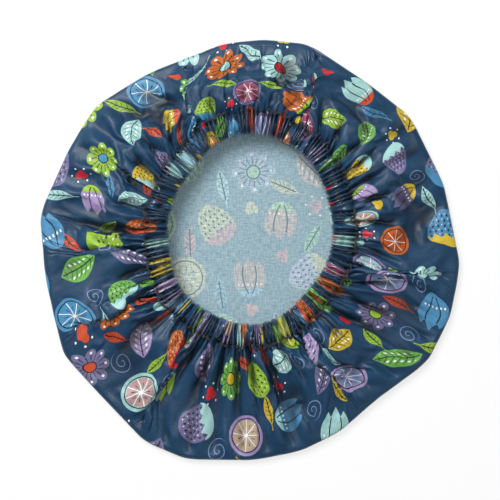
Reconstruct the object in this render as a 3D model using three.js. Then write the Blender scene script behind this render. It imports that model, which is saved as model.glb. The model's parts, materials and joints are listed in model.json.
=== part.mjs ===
// A gathered cloth shower cap, lying on its crown with the elasticated mouth up.
// Millimetres, +Z up. The origin is on the resting plane, under the middle of the cap's outline.
import * as THREE from "three";

// Cloth, and the gap between pieces that touch
const CLOTH = 0.6;
const CLEARANCE = 0.3;

// The disc that the cap is cut from
const CUT_RADIUS = 262;

// The taut rim: its mean radius, and its corners as [degrees round the cap, distance from the mean radius]
const CAP_RADIUS = 145;
const RIM_CORNERS = [
  [-4, 2], [19, -2], [40, 1], [55, -2], [74, 5], [86, 3], [97, 1], [107, -3], [120, -2], [137, 3],
  [151, 0], [170, 4], [188, -1], [209, 4], [222, 0], [241, 7], [253, 7], [271, 1], [284, -1], [296, -4],
  [310, -9], [328, 1], [342, 2],
];
const CORNER_SPREAD = 1.5; // degrees over which a corner is rounded
const RIM_FOLD_RADIUS = 3;

// The relaxed mouth, an oval that lies off the middle of the cap
const MOUTH_HALF_WIDTH = 57.5;
const MOUTH_HALF_LENGTH = 66;
const MOUTH_SHIFT_X = 0.7;
const MOUTH_SHIFT_Y = 14.4;

// The casing: a turned hem, sewn down along its outer edge and ruched by the elastic inside it
const CASING_WIDTH = 15;
const CASING_SHOULDER = 4; // from each edge of the casing to its full height
const CASING_LIFT = 9; // from the crown's cloth to the casing's lowest ruches
const CHANNEL_SLACK = 0.3; // spare height over what lies in the channel
const RUCHES = 44;
const RUCHE_HEIGHT = 1.2;

// The elastic: a strip joined into a loop by lapping its ends
const ELASTIC_WIDTH = 9;
const ELASTIC_THICKNESS = 1;
const ELASTIC_LAP = 16;
const ELASTIC_STEPS = 72;

// Sewing thread
const THREAD_RADIUS = 0.25;
const THREAD_SIDES = 5;
const STITCH_INSET = 1.8; // from the casing's outer edge to the stitch line
const STITCH_SWING = 0.5; // how far a stitch lies to either side of its line
const LAP_STITCHES = 8;

// The skirt: the gathers' valleys, as degrees round the mouth, and how deep they are
const GATHER_VALLEYS = [
  2, 19, 34, 49, 65, 79, 94, 110, 126, 147, 163, 180, 209, 222, 237, 249, 262, 277, 293, 308, 325, 342,
];
const GATHER_DEPTH = 4.5;
const PUFF_SHARE = 0.55; // how much of the slack cloth's arch stays up under its own weight
const SKIRT_STEPS = 4;

const FULL_TURN = 360;
const radians = THREE.MathUtils.degToRad;
const { lerp } = THREE.MathUtils;

// Heights that follow from what lies in the casing
const lapHalfHeight = ELASTIC_THICKNESS + CLEARANCE / 2;
const channelHalfHeight = lapHalfHeight + 2 * CLEARANCE + 2 * THREAD_RADIUS + CHANNEL_SLACK;
const casingHalfHeight = channelHalfHeight + CLOTH;
const sewnHalfHeight = CLOTH + CLEARANCE / 2;
const casingMiddle = CLOTH + CASING_LIFT + casingHalfHeight + RUCHE_HEIGHT;

// Radius of the taut rim at an angle: the straight line between the corners on either side of it
function chordRadius(degrees) {
  const first = RIM_CORNERS[0][0];
  const angle = first + THREE.MathUtils.euclideanModulo(degrees - first, FULL_TURN);
  const closed = [...RIM_CORNERS, [first + FULL_TURN, RIM_CORNERS[0][1]]];
  const next = closed.findIndex(([corner]) => corner > angle);
  const [fromAngle, fromOffset] = closed[next - 1];
  const [toAngle, toOffset] = closed[next];
  const from = CAP_RADIUS + fromOffset;
  const to = CAP_RADIUS + toOffset;
  const across = from * Math.sin(radians(angle - fromAngle)) + to * Math.sin(radians(toAngle - angle));
  return (from * to * Math.sin(radians(toAngle - fromAngle))) / across;
}

// The same with its corners rounded
function rimRadius(degrees) {
  const spread = [-1, -0.5, 0, 0.5, 1].map((share) => chordRadius(degrees + share * CORNER_SPREAD));
  return spread.reduce((sum, radius) => sum + radius) / spread.length;
}

// The rim's outline is moved so that the origin is the middle of its box
const rimBox = new THREE.Box2();
for (let degrees = 0; degrees < FULL_TURN; degrees += 1) {
  const outward = new THREE.Vector2(Math.cos(radians(degrees)), Math.sin(radians(degrees)));
  rimBox.expandByPoint(outward.multiplyScalar(rimRadius(degrees)));
}
const rimMiddle = rimBox.getCenter(new THREE.Vector2());

// A point on the cap's outline, drawn in by some distance
function rimPoint(degrees, inset, height) {
  const angle = radians(degrees);
  const radius = rimRadius(degrees) - inset;
  return new THREE.Vector3(
    radius * Math.cos(angle) - rimMiddle.x,
    radius * Math.sin(angle) - rimMiddle.y,
    height,
  );
}

// A point at some distance outside the mouth's edge
function mouthPoint(degrees, outward, height) {
  const angle = radians(degrees);
  return new THREE.Vector3(
    MOUTH_SHIFT_X + (MOUTH_HALF_WIDTH + outward) * Math.cos(angle),
    MOUTH_SHIFT_Y + (MOUTH_HALF_LENGTH + outward) * Math.sin(angle),
    height,
  );
}

// Angles round the cap, four to each gather, with the gather's height there,
// from -1 in a valley to 1 on a crest
const STATIONS_PER_GATHER = 4;
const stations = GATHER_VALLEYS.flatMap((valley, index) => {
  const next = GATHER_VALLEYS[index + 1] ?? GATHER_VALLEYS[0] + FULL_TURN;
  return Array.from({ length: STATIONS_PER_GATHER }, (_, step) => {
    const share = step / STATIONS_PER_GATHER;
    return { degrees: lerp(valley, next, share), wave: -Math.cos(share * 2 * Math.PI) };
  });
});

// Solid from a row of equal point loops, either joined end to end in a ring or capped at both ends.
// In a lined one, the second half of each loop is the inner face of the first, and is split the same way.
function loft(loops, { ring, lined = false }) {
  const count = loops[0].length;
  const index = [];
  const at = (loop, point) => (loop % loops.length) * count + (point % count);
  for (let loop = 0; loop < loops.length - (ring ? 0 : 1); loop += 1) {
    for (let point = 0; point < count; point += 1) {
      const [a, b] = [at(loop, point), at(loop, point + 1)];
      const [c, d] = [at(loop + 1, point), at(loop + 1, point + 1)];
      if (lined && point >= count / 2) {
        index.push(a, c, b, c, d, b);
      } else {
        index.push(a, c, d, a, d, b);
      }
    }
  }
  if (!ring) {
    const last = loops.length - 1;
    for (let point = 1; point < count - 1; point += 1) {
      index.push(at(0, 0), at(0, point), at(0, point + 1));
      index.push(at(last, 0), at(last, point + 1), at(last, point));
    }
  }
  const geometry = new THREE.BufferGeometry().setFromPoints(loops.flat());
  geometry.setIndex(index);
  geometry.computeVertexNormals();
  return geometry;
}

// Loops of a round thread along a path, each square to the path there
function threadLoops(path, { ring }) {
  const up = new THREE.Vector3(0, 0, 1);
  return path.map((point, step) => {
    const before = path[step - 1] ?? (ring ? path[path.length - 1] : point);
    const after = path[step + 1] ?? (ring ? path[0] : point);
    const along = after.clone().sub(before).normalize();
    const side = along.clone().cross(up).normalize();
    const over = side.clone().cross(along);
    return Array.from({ length: THREAD_SIDES }, (_, corner) => {
      const turn = (corner / THREAD_SIDES) * 2 * Math.PI;
      return point
        .clone()
        .addScaledVector(side, THREAD_RADIUS * Math.cos(turn))
        .addScaledVector(over, THREAD_RADIUS * Math.sin(turn));
    });
  });
}

// The crown: the flat middle of the disc, which the cap rests on
function crownGeometry() {
  const outline = stations.map(({ degrees }) => rimPoint(degrees, RIM_FOLD_RADIUS + CLEARANCE, 0));
  const shape = new THREE.Shape(outline.map(({ x, y }) => new THREE.Vector2(x, y)));
  return new THREE.ExtrudeGeometry(shape, { depth: CLOTH, bevelEnabled: false });
}

// How high the skirt's slack cloth arches between the rim and the stitch line
function puffHeight(degrees) {
  const run = rimPoint(degrees, RIM_FOLD_RADIUS, 0).distanceTo(mouthPoint(degrees, CASING_WIDTH, 0));
  const cloth = CUT_RADIUS - 2 * CASING_WIDTH - rimRadius(degrees);
  return PUFF_SHARE * Math.sqrt(Math.max(0, (3 / 8) * run * (cloth - run)));
}

// The skirt's line from the crown, round the rim fold and over the arch to the stitch line
function skirtLine({ degrees, wave }) {
  const foldTop = rimPoint(degrees, RIM_FOLD_RADIUS, 2 * RIM_FOLD_RADIUS);
  const sewn = mouthPoint(degrees, CASING_WIDTH + CLEARANCE, casingMiddle + sewnHalfHeight);
  const puff = puffHeight(degrees);
  const over = Array.from({ length: SKIRT_STEPS + 1 }, (_, step) => {
    const share = step / SKIRT_STEPS;
    const arch = Math.sin(share * Math.PI);
    const point = foldTop.clone().lerp(sewn, share);
    point.z += puff * arch + GATHER_DEPTH * wave * share * (1 - share / 2);
    return point;
  });
  return [rimPoint(degrees, RIM_FOLD_RADIUS, 0), rimPoint(degrees, 0, RIM_FOLD_RADIUS), ...over];
}

// A line's inner face, one cloth thickness inside it, square to the cloth between the lines on either side
function innerFace(line, before, after) {
  return line.map((point, step) => {
    const from = line[step - 1] ?? point.clone().setZ(line[1].z);
    const to = step ? (line[step + 1] ?? point) : line[1];
    const along = to.clone().sub(from);
    const around = after[step].clone().sub(before[step]);
    return point.clone().addScaledVector(along.cross(around).normalize(), CLOTH);
  });
}

// The skirt: the rest of the disc, folded up at the rim and drawn in to the mouth in gathers
function skirtGeometry() {
  const lines = stations.map(skirtLine);
  const loops = lines.map((line, index) => {
    const inner = innerFace(line, lines.at(index - 1), lines[(index + 1) % lines.length]);
    return [...line, ...inner.reverse()];
  });
  return loft(loops, { ring: true, lined: true });
}

// How far the ruched cloth stands above the casing at a station: up and down by turns, and not all alike
function rucheHeight(station) {
  const unevenness = 0.8 + 0.2 * Math.sin(station * 1.7);
  return station % 2 ? RUCHE_HEIGHT * unevenness : 0;
}

// Half the casing's height at some distance outside the mouth's edge
function casingTop(outward, station) {
  const full = casingHalfHeight + rucheHeight(station);
  const toSewn = (CASING_WIDTH - outward) / CASING_SHOULDER;
  return lerp(sewnHalfHeight, full, Math.min(1, toSewn));
}

// The casing's section: a U that opens at the sewn edge, as [distance outside the mouth's edge, height]
function casingSection(station) {
  const full = casingHalfHeight + rucheHeight(station);
  const shoulder = CASING_WIDTH - CASING_SHOULDER;
  const outer = [[CASING_WIDTH, sewnHalfHeight], [shoulder, full], [CASING_SHOULDER, full]];
  const inner = outer.map(([outward, height]) => [outward, height - CLOTH]).reverse();
  const mirror = (points) => points.map(([outward, height]) => [outward, -height]).reverse();
  return [...outer, [0, 0], ...mirror(outer), ...mirror(inner), [CLOTH, 0], ...inner];
}

const casingStations = 2 * RUCHES;
const casingDegrees = (station) => (station * FULL_TURN) / casingStations;

function casingGeometry() {
  const loops = Array.from({ length: casingStations }, (_, station) =>
    casingSection(station).map(([outward, height]) =>
      mouthPoint(casingDegrees(station), outward, casingMiddle + height),
    ),
  );
  return loft(loops, { ring: true, lined: true });
}

// The elastic climbs by its own thickness in one round, so that its end laps over its start
const elasticMiddle = CASING_WIDTH / 2;
const elasticLevel = (degrees) => (ELASTIC_THICKNESS + CLEARANCE) * (degrees / FULL_TURN - 0.5);
const elasticRound = Math.PI * (MOUTH_HALF_WIDTH + MOUTH_HALF_LENGTH + 2 * elasticMiddle);
const lapDegrees = FULL_TURN * (ELASTIC_LAP / elasticRound);

function elasticGeometry() {
  const halves = [[1, -1], [1, 1], [-1, 1], [-1, -1]];
  const loops = Array.from({ length: ELASTIC_STEPS + 1 }, (_, step) => {
    const degrees = (step / ELASTIC_STEPS) * (FULL_TURN + lapDegrees);
    return halves.map(([side, face]) =>
      mouthPoint(
        degrees,
        elasticMiddle + (side * ELASTIC_WIDTH) / 2,
        casingMiddle + elasticLevel(degrees) + (face * ELASTIC_THICKNESS) / 2,
      ),
    );
  });
  return loft(loops, { ring: false });
}

// Zigzag thread over the elastic's lapped ends
function lapStitchGeometry() {
  const path = Array.from({ length: LAP_STITCHES + 1 }, (_, step) => {
    const degrees = FULL_TURN + lapDegrees * ((step + 1) / (LAP_STITCHES + 2));
    const side = step % 2 ? 1 : -1;
    const top = elasticLevel(degrees) + ELASTIC_THICKNESS / 2 + CLEARANCE + THREAD_RADIUS;
    return mouthPoint(degrees, elasticMiddle + (side * ELASTIC_WIDTH) / 4, casingMiddle + top);
  });
  return loft(threadLoops(path, { ring: false }), { ring: false });
}

// The line of stitches that closes the casing, on its upper face or its under face
function casingThreadGeometry(face) {
  const steepness = (casingHalfHeight + RUCHE_HEIGHT) / CASING_SHOULDER;
  const stand = (CLEARANCE + THREAD_RADIUS) * Math.hypot(1, steepness);
  const path = Array.from({ length: casingStations }, (_, station) => {
    const swing = (station % 2 ? 1 : -1) * STITCH_SWING;
    const outward = CASING_WIDTH - STITCH_INSET + swing;
    const height = casingTop(outward, station) + stand;
    return mouthPoint(casingDegrees(station), outward, casingMiddle + face * height);
  });
  return loft(threadLoops(path, { ring: true }), { ring: true });
}

const material = (color, roughness) => new THREE.MeshStandardMaterial({ color, roughness, metalness: 0 });
const coatedCotton = material("#35567c", 0.42);
const elasticKnit = material("#e9e7e0", 0.85);
const darkThread = material("#14171d", 0.6);

const cap = new THREE.Group();
function place(name, geometry, finish) {
  const mesh = new THREE.Mesh(geometry, finish);
  mesh.name = name;
  cap.add(mesh);
}

place("crown_panel", crownGeometry(), coatedCotton);
place("skirt_panel", skirtGeometry(), coatedCotton);
place("elastic_casing", casingGeometry(), coatedCotton);
place("elastic_band", elasticGeometry(), elasticKnit);
place("elastic_lap_stitch", lapStitchGeometry(), darkThread);
place("casing_needle_thread", casingThreadGeometry(1), darkThread);
place("casing_bobbin_thread", casingThreadGeometry(-1), darkThread);

export default cap;
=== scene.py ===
"""Looks of a gathered cloth shower cap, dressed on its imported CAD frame.

Lengths are in metres in the frame's own axes: +Z up, the cap lying on its crown with the mouth up.
"""

from __future__ import annotations

import json
import logging
import math
from collections.abc import Callable, Sequence
from dataclasses import dataclass, field
from enum import Enum
from typing import Any

import bpy
import numpy as np
from mathutils import Matrix, Vector

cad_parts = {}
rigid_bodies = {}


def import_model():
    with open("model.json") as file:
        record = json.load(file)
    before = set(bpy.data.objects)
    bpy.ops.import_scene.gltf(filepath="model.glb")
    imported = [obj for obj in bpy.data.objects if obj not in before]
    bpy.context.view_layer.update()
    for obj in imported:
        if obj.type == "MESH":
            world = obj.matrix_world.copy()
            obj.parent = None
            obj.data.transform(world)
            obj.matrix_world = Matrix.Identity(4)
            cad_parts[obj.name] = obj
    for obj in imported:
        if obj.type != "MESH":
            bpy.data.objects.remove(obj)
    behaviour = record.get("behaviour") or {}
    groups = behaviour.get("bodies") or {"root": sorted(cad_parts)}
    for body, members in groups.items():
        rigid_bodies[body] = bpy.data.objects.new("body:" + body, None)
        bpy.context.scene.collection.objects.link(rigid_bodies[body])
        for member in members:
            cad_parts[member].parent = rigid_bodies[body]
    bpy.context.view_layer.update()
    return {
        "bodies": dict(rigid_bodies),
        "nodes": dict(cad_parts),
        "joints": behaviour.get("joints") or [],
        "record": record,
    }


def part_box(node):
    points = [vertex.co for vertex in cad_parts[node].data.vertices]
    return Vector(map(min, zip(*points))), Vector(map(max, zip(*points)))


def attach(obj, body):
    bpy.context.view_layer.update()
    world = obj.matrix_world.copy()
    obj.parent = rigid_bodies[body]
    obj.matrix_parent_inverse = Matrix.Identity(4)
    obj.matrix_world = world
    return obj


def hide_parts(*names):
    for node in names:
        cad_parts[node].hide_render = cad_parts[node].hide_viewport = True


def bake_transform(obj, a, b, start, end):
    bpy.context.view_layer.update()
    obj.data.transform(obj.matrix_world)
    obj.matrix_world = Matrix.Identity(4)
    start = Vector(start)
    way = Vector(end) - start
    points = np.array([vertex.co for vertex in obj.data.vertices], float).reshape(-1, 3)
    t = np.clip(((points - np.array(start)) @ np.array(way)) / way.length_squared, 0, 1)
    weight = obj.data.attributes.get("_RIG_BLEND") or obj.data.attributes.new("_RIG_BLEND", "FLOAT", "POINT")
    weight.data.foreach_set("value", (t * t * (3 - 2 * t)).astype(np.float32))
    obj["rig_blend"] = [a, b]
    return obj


log = logging.getLogger("shower_cap")

Array = np.ndarray
FULL_TURN = 2 * math.pi
CLOTH_MAP = "cloth"
# Point attribute of how deep the cloth lies between folds; the printed face darkens by it, as painted shade.
HOLLOW = "hollow"
CLOTH_THICKNESS = 0.0004
SEWN_FLAT = 0.232


class Body(Enum):
    """The frame's moving bodies."""

    CROWN = "crown"
    BAND = "band"


class Slot(Enum):
    """The record's material slots."""

    COTTON = "coated_cotton"
    ELASTIC = "elastic_knit"
    THREAD = "sewing_thread"


class Face(Enum):
    """The two faces of the casing, by the way that each one looks."""

    TOP = 1
    UNDER = -1


class Lap(Enum):
    """Which way a fold's crest hangs over its valley, going round anticlockwise."""

    FORWARD = 1
    OPEN = 0
    BACK = -1


def linear(red: int, green: int, blue: int) -> tuple[float, float, float, float]:
    """Turns a colour of 0 to 255 a channel, as a screen shows it, into the shader's linear colour.

    Args:
        red: Red channel.
        green: Green channel.
        blue: Blue channel.

    Returns:
        The linear colour with an alpha of 1.
    """
    def channel(value: int) -> float:
        """Turns one channel linear."""
        share = value / 255
        return share / 12.92 if share <= 0.04045 else ((share + 0.055) / 1.055) ** 2.4

    return channel(red), channel(green), channel(blue), 1.0


def ease(values: Array | float) -> Array:
    """Eases shares from 0 to 1 in and out."""
    clipped = np.clip(values, 0, 1)
    return clipped * clipped * (3 - 2 * clipped)


def even_angles(count: int) -> Array:
    """Returns angles evenly spaced round a full turn."""
    return np.arange(count) * (FULL_TURN / count)


def directions(angles: Array) -> Array:
    """Returns the flat directions at some angles."""
    return np.stack([np.cos(angles), np.sin(angles)], axis=-1)


def degrees_past(angles: Array, mark: float) -> Array:
    """Returns how far some angles lie past a mark, in degrees from -180 to 180."""
    return (np.degrees(angles) - mark + 180) % 360 - 180


def soft_noise(angles: Array, lowest: int, highest: int, seed: int) -> Array:
    """Sums waves of every count from lowest to highest round a full turn, with seeded phases.

    Args:
        angles: Angles to read the noise at.
        lowest: Fewest waves round the turn.
        highest: Most waves round the turn.
        seed: Seed of the phases and heights.

    Returns:
        Noise with a spread of about 1.
    """
    random = np.random.default_rng(seed)
    counts = np.arange(lowest, highest + 1)
    phases = random.uniform(0, FULL_TURN, counts.size)
    heights = random.uniform(0.4, 1.0, counts.size)
    waves = heights * np.sin(np.multiply.outer(angles, counts) + phases)
    return waves.sum(axis=-1) / math.sqrt((heights**2).sum() / 2)


def round_turn(angles: Array, places: Sequence[float], values: Sequence[float], blur: float) -> Array:
    """Reads values that are given at a few places round a full turn.

    Args:
        angles: Angles to read at.
        places: Places of the given values, in degrees.
        values: The given values.
        blur: Half width of the window that the reading is averaged over, in degrees.

    Returns:
        The values at the angles.
    """
    window = np.radians(np.linspace(-blur, blur, 9))
    spots = np.radians(np.array(places, dtype=float))
    return np.mean([np.interp(angles + turn, spots, values, period=FULL_TURN) for turn in window], axis=0)


def resample(values: Array, count: int, closed: bool) -> Array:
    """Redraws a row of points with another number of points, on a smooth curve through the first ones.

    Args:
        values: The points, along the first axis.
        count: How many points to return.
        closed: Whether the last point is followed by the first.

    Returns:
        The new points.
    """
    size = len(values)
    place = np.arange(count) * (size / count) if closed else np.linspace(0, size - 1, count)
    whole = np.minimum(np.floor(place).astype(int), size - 1 if closed else size - 2)
    part = (place - whole).reshape(-1, *[1] * (values.ndim - 1))

    def at(step: int) -> Array:
        """Takes the points some steps after each place."""
        index = whole + step
        return values[index % size if closed else np.clip(index, 0, size - 1)]

    before, start, end, after = (at(step) for step in (-1, 0, 1, 2))
    bend = 2 * before - 5 * start + 4 * end - after
    twist = 3 * (start - end) + after - before
    return start + 0.5 * part * (end - before + part * (bend + part * twist))


def operation(kind: str, reflected: bool = False) -> Callable[..., Value]:
    """Makes a method of Value that adds one Math node.

    Args:
        kind: The Math node's operation. A comparison gives 1 where it is true, else 0.
        reflected: Whether the value is the node's last operand, and not its first.

    Returns:
        The method, which takes the node's other operands.
    """
    def method(self: Value, *others: Value | float) -> Value:
        """Adds the node on this value."""
        operands = (*others, self) if reflected else (self, *others)
        return self.graph.add("ShaderNodeMath", {"operation": kind}, dict(enumerate(operands)))

    return method


class Value:
    """A shader socket that takes part in Python arithmetic: each operation adds a Math node."""

    def __init__(self, graph: Graph, socket: bpy.types.NodeSocket) -> None:
        """Wraps a socket of a graph."""
        self.graph = graph
        self.socket = socket

    __add__ = __radd__ = operation("ADD")
    __sub__ = operation("SUBTRACT")
    __rsub__ = operation("SUBTRACT", reflected=True)
    __mul__ = __rmul__ = operation("MULTIPLY")
    __truediv__ = operation("DIVIDE")
    __rtruediv__ = operation("DIVIDE", reflected=True)
    __lt__ = operation("LESS_THAN")
    __gt__ = operation("GREATER_THAN")
    __abs__ = operation("ABSOLUTE")
    floor = operation("FLOOR")
    fraction = operation("FRACT")
    pingpong = operation("PINGPONG")
    power = operation("POWER")
    root = operation("SQRT")
    sine = operation("SINE")
    cosine = operation("COSINE")
    arctangent = operation("ARCTAN2")
    lowest = operation("MINIMUM")
    highest = operation("MAXIMUM")

    def near(self, other: Value | float, reach: float) -> Value:
        """Returns 1 where this is within reach of the other, else 0."""
        return abs(self - other) < reach


class Graph:
    """A node tree that is written as Python expressions."""

    def __init__(self, tree: bpy.types.NodeTree) -> None:
        """Empties a node tree and starts writing it."""
        self.tree = tree
        tree.nodes.clear()

    def node(
        self,
        kind: str,
        settings: dict[str, Any] | None = None,
        sockets: dict[str | int, Any] | None = None,
    ) -> bpy.types.Node:
        """Adds a node, sets it and links it.

        Args:
            kind: The node's type.
            settings: Attributes of the node, set first. The key stops holds the colours of a ramp's
                even steps.
            sockets: Numbers, colours or values for the node's inputs, by name or place.

        Returns:
            The new node.
        """
        made = self.tree.nodes.new(kind)
        for name, setting in (settings or {}).items():
            if name == "stops":
                self._set_steps(made, setting)
            else:
                setattr(made, name, setting)
        for key, given in (sockets or {}).items():
            if isinstance(given, Value):
                self.tree.links.new(given.socket, made.inputs[key])
            else:
                made.inputs[key].default_value = given
        return made

    def add(
        self,
        kind: str,
        settings: dict[str, Any] | None = None,
        sockets: dict[str | int, Any] | None = None,
        output: str | int = 0,
    ) -> Value:
        """Adds a node as node does, and returns one of its outputs as a value."""
        return Value(self, self.node(kind, settings, sockets).outputs[output])

    @staticmethod
    def _set_steps(ramp: bpy.types.Node, colours: Sequence[Sequence[float]]) -> None:
        """Gives a ramp one even step for each colour.

        Args:
            ramp: The ramp's node.
            colours: The colours.
        """
        ramp.color_ramp.interpolation = "CONSTANT"
        elements = ramp.color_ramp.elements
        while len(elements) < len(colours):
            elements.new(1.0)
        for index, colour in enumerate(colours):
            elements[index].position = index / len(colours)
            elements[index].color = colour

    def mix(self, share: Value | float, low: Any, high: Any) -> Value:
        """Mixes two colours.

        Args:
            share: How much of the second colour.
            low: The first colour.
            high: The second colour.

        Returns:
            The mixed colour.
        """
        sockets = {0: share, 6: low, 7: high}
        return self.add("ShaderNodeMix", {"data_type": "RGBA"}, sockets, output=2)

    def noise(self, place: Value, scale: float, detail: float, roughness: float) -> Value:
        """Adds soft noise.

        Args:
            place: Where the noise is read.
            scale: Lumps to the metre.
            detail: Finer octaves.
            roughness: Strength of the finer octaves.

        Returns:
            Noise from 0 to 1.
        """
        sockets = {"Vector": place, "Scale": scale, "Detail": detail, "Roughness": roughness}
        return self.add("ShaderNodeTexNoise", sockets=sockets)

    def split(self, vector: Value) -> tuple[Value, Value, Value]:
        """Splits a vector into its three numbers."""
        made = self.node("ShaderNodeSeparateXYZ", sockets={0: vector})
        return Value(self, made.outputs[0]), Value(self, made.outputs[1]), Value(self, made.outputs[2])

    def join(self, x: Value | float, y: Value | float, z: Value | float = 0.0) -> Value:
        """Joins three numbers into a vector."""
        return self.add("ShaderNodeCombineXYZ", sockets={0: x, 1: y, 2: z})

    def bump(self, strength: float, distance: float, height: Value) -> Value:
        """Makes bumps out of a height.

        Args:
            strength: Strength of the bumps.
            distance: Height of the bumps.
            height: The height, from about 0 to 1.

        Returns:
            The normal.
        """
        sockets = {"Strength": strength, "Distance": distance, "Height": height}
        return self.add("ShaderNodeBump", sockets=sockets)

    def surface(self, sockets: dict[str | int, Any]) -> None:
        """Ends the graph with a Principled surface.

        Args:
            sockets: Numbers, colours or values for the surface's inputs.
        """
        shader = self.add("ShaderNodeBsdfPrincipled", sockets=sockets)
        self.node("ShaderNodeOutputMaterial", sockets={0: shader})

    def weave(self, across: Value, along: Value, yarn: float) -> Value:
        """Draws a plain weave.

        Args:
            across: Place across the cloth.
            along: Place along the cloth.
            yarn: Distance between the yarns.

        Returns:
            The rise and fall of the yarns, from -1 to 1.
        """
        turn = FULL_TURN / yarn
        return (across * turn).sine() * (along * turn).sine()

    def flat_place(self) -> tuple[Value, Value]:
        """Reads where a point lies on the flat cloth, across and along."""
        across, along, _ = self.split(self.add("ShaderNodeUVMap", {"uv_map": CLOTH_MAP}))
        return across, along


def shaded(name: str) -> tuple[bpy.types.Material, Graph]:
    """Makes an empty material.

    Args:
        name: Name of the material.

    Returns:
        The material and its graph.
    """
    made = bpy.data.materials.new(name)
    made.use_nodes = True
    return made, Graph(made.node_tree)


@dataclass(frozen=True)
class Spot:
    """A point's place on the motif that it belongs to.

    Attributes:
        x: Place across the motif, in radii.
        y: Place along the motif, in radii.
        distance: Distance from the middle, in radii.
        angle: Angle round the middle.
        pick: Random number of the motif.
        hue: Another random number of the motif.
    """

    x: Value
    y: Value
    distance: Value
    angle: Value
    pick: Value
    hue: Value


@dataclass(frozen=True)
class Motif:
    """The masks that draw one motif.

    Attributes:
        body: Where it has its own colour.
        lines: Where it has dark lines.
        heart: Where it has its second colour.
        pips: Where it has pale dots.
    """

    body: Value
    lines: Value
    heart: Value | float
    pips: Value | float


@dataclass(frozen=True)
class GardenPrint:
    """A tossed print of blossoms, leaves, fruit and berries on blue, drawn on the flat cloth.

    Attributes:
        pitch: Distance between the main motifs, which lie on a triangular grid.
        motif_radius: Radius of a main motif.
        sprig_radius: Half length of the leaf sprigs, which lie in some of the gaps.
        berry_radius: Radius of the berries and curls, which lie in some of the other gaps.
        jitter: How far a motif may lie off its place, as a share of the pitch.
        fade: How much the colours are paled, as they are on the cloth's back.
        ground_fade: Share of that fading which the blue ground takes.
        ink_fade: Share of that fading which the dark lines take.
        sprigs: Share of the sprigs' places that have one.
        berries: Share of the berries' places that have one.
        dotted: Share of the berries' places that also have a ring of dots.
        curled: Random number above which a berry's place has a curl instead.
    """

    pitch: float = 0.0435
    motif_radius: float = 0.0158
    sprig_radius: float = 0.0115
    berry_radius: float = 0.0062
    jitter: float = 0.13
    fade: float = 0.0
    ground_fade: float = 0.92
    ink_fade: float = 0.4
    sprigs: float = 0.45
    berries: float = 0.36
    dotted: float = 0.22
    curled: float = 0.8

    # Whole cells by which the grid of motifs is shifted, so that no cell has a number below 0.
    CELLS_OFF = 100

    DEEP_BLUE = linear(8, 38, 66)
    SOFT_BLUE = linear(32, 76, 110)
    CURL = linear(118, 138, 178)
    BARE = linear(220, 242, 244)
    DARK = linear(20, 24, 36)
    PALE = linear(240, 242, 236)
    RUST = linear(190, 100, 34)
    LIME = linear(146, 186, 56)
    LILAC = linear(162, 144, 188)
    VIOLET = linear(114, 110, 150)
    MUSTARD = linear(204, 178, 50)
    SKY = linear(72, 138, 180)
    AQUA = linear(160, 206, 204)
    EMBER = linear(194, 72, 36)
    GREEN = linear(108, 174, 76)
    BERRY = linear(192, 36, 48)

    def colour(self, graph: Graph) -> Value:
        """Draws the whole print.

        Args:
            graph: Graph of the material that wears the print.

        Returns:
            The print's colour at each point of the cloth.
        """
        across, along = graph.flat_place()
        flat = graph.join(across, along)
        mottle = graph.noise(flat, scale=34.0, detail=6.0, roughness=0.65)
        brush = graph.noise(flat, scale=360.0, detail=3.0, roughness=0.6)
        specks = graph.noise(flat, scale=1500.0, detail=2.0, roughness=0.6)
        low = self._paled(self.DEEP_BLUE, self.ground_fade)
        high = self._paled(self.SOFT_BLUE, self.ground_fade)
        drawn = graph.mix(mottle + (specks - 0.5) * 1.1, low, high)
        drawn = self._berries(graph, across, along, drawn)
        drawn = self._sprigs(graph, across, along, drawn, brush)
        return self._motifs(graph, across, along, drawn, brush)

    def _paled(self, colour: Sequence[float], hold: float = 1.0) -> tuple[float, ...]:
        """Pales a colour towards the bare cloth.

        Args:
            colour: The colour as printed.
            hold: How much of the fading it takes.

        Returns:
            The paled colour.
        """
        share = self.fade * hold
        return tuple(own + (bare - own) * share for own, bare in zip(colour, self.BARE))

    def _ink(self) -> tuple[float, ...]:
        """Returns the colour of the dark lines, which show through the cloth best."""
        return self._paled(self.DARK, self.ink_fade)

    def _spot(
        self, graph: Graph, across: Value, along: Value, offset: tuple[float, float], radius: float
    ) -> Spot:
        """Finds the motif that a point of the cloth belongs to.

        Args:
            graph: The graph.
            across: The point's place across the cloth.
            along: The point's place along the cloth.
            offset: Shift of the grid, as shares of the pitch and of the row height.
            radius: Radius of the motif.

        Returns:
            The point's place on its motif.
        """
        row_height = self.pitch * math.sqrt(0.75)
        rows = along / row_height + (self.CELLS_OFF + offset[1])
        row = rows.floor()
        columns = across / self.pitch + (row * 0.5).fraction() + (self.CELLS_OFF + offset[0])
        place = graph.join(columns.floor(), row, 1 + 7 * offset[1])
        noise = graph.node("ShaderNodeTexWhiteNoise", {"noise_dimensions": "3D"}, {"Vector": place})
        pick = Value(graph, noise.outputs["Value"])
        shift_x, shift_y, turn = graph.split(Value(graph, noise.outputs["Color"]))
        x = (columns.fraction() - 0.5 + (shift_x - 0.5) * self.jitter) * (self.pitch / radius)
        y = (rows.fraction() - 0.5 + (shift_y - 0.5) * self.jitter) * (row_height / radius)
        angle = turn * FULL_TURN
        cosine, sine = angle.cosine(), angle.sine()
        turned_x, turned_y = x * cosine + y * sine, y * cosine - x * sine
        return Spot(
            x=turned_x,
            y=turned_y,
            distance=(x * x + y * y).root(),
            angle=turned_y.arctangent(turned_x),
            pick=pick,
            hue=(pick * 7.31 + shift_x * 3.17).fraction(),
        )

    def _pick(self, graph: Graph, hue: Value, colours: Sequence[Sequence[float]]) -> Value:
        """Picks one of some colours by a random number."""
        stops = [self._paled(colour) for colour in colours]
        return graph.add("ShaderNodeValToRGB", {"stops": stops}, {0: hue})

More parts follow.
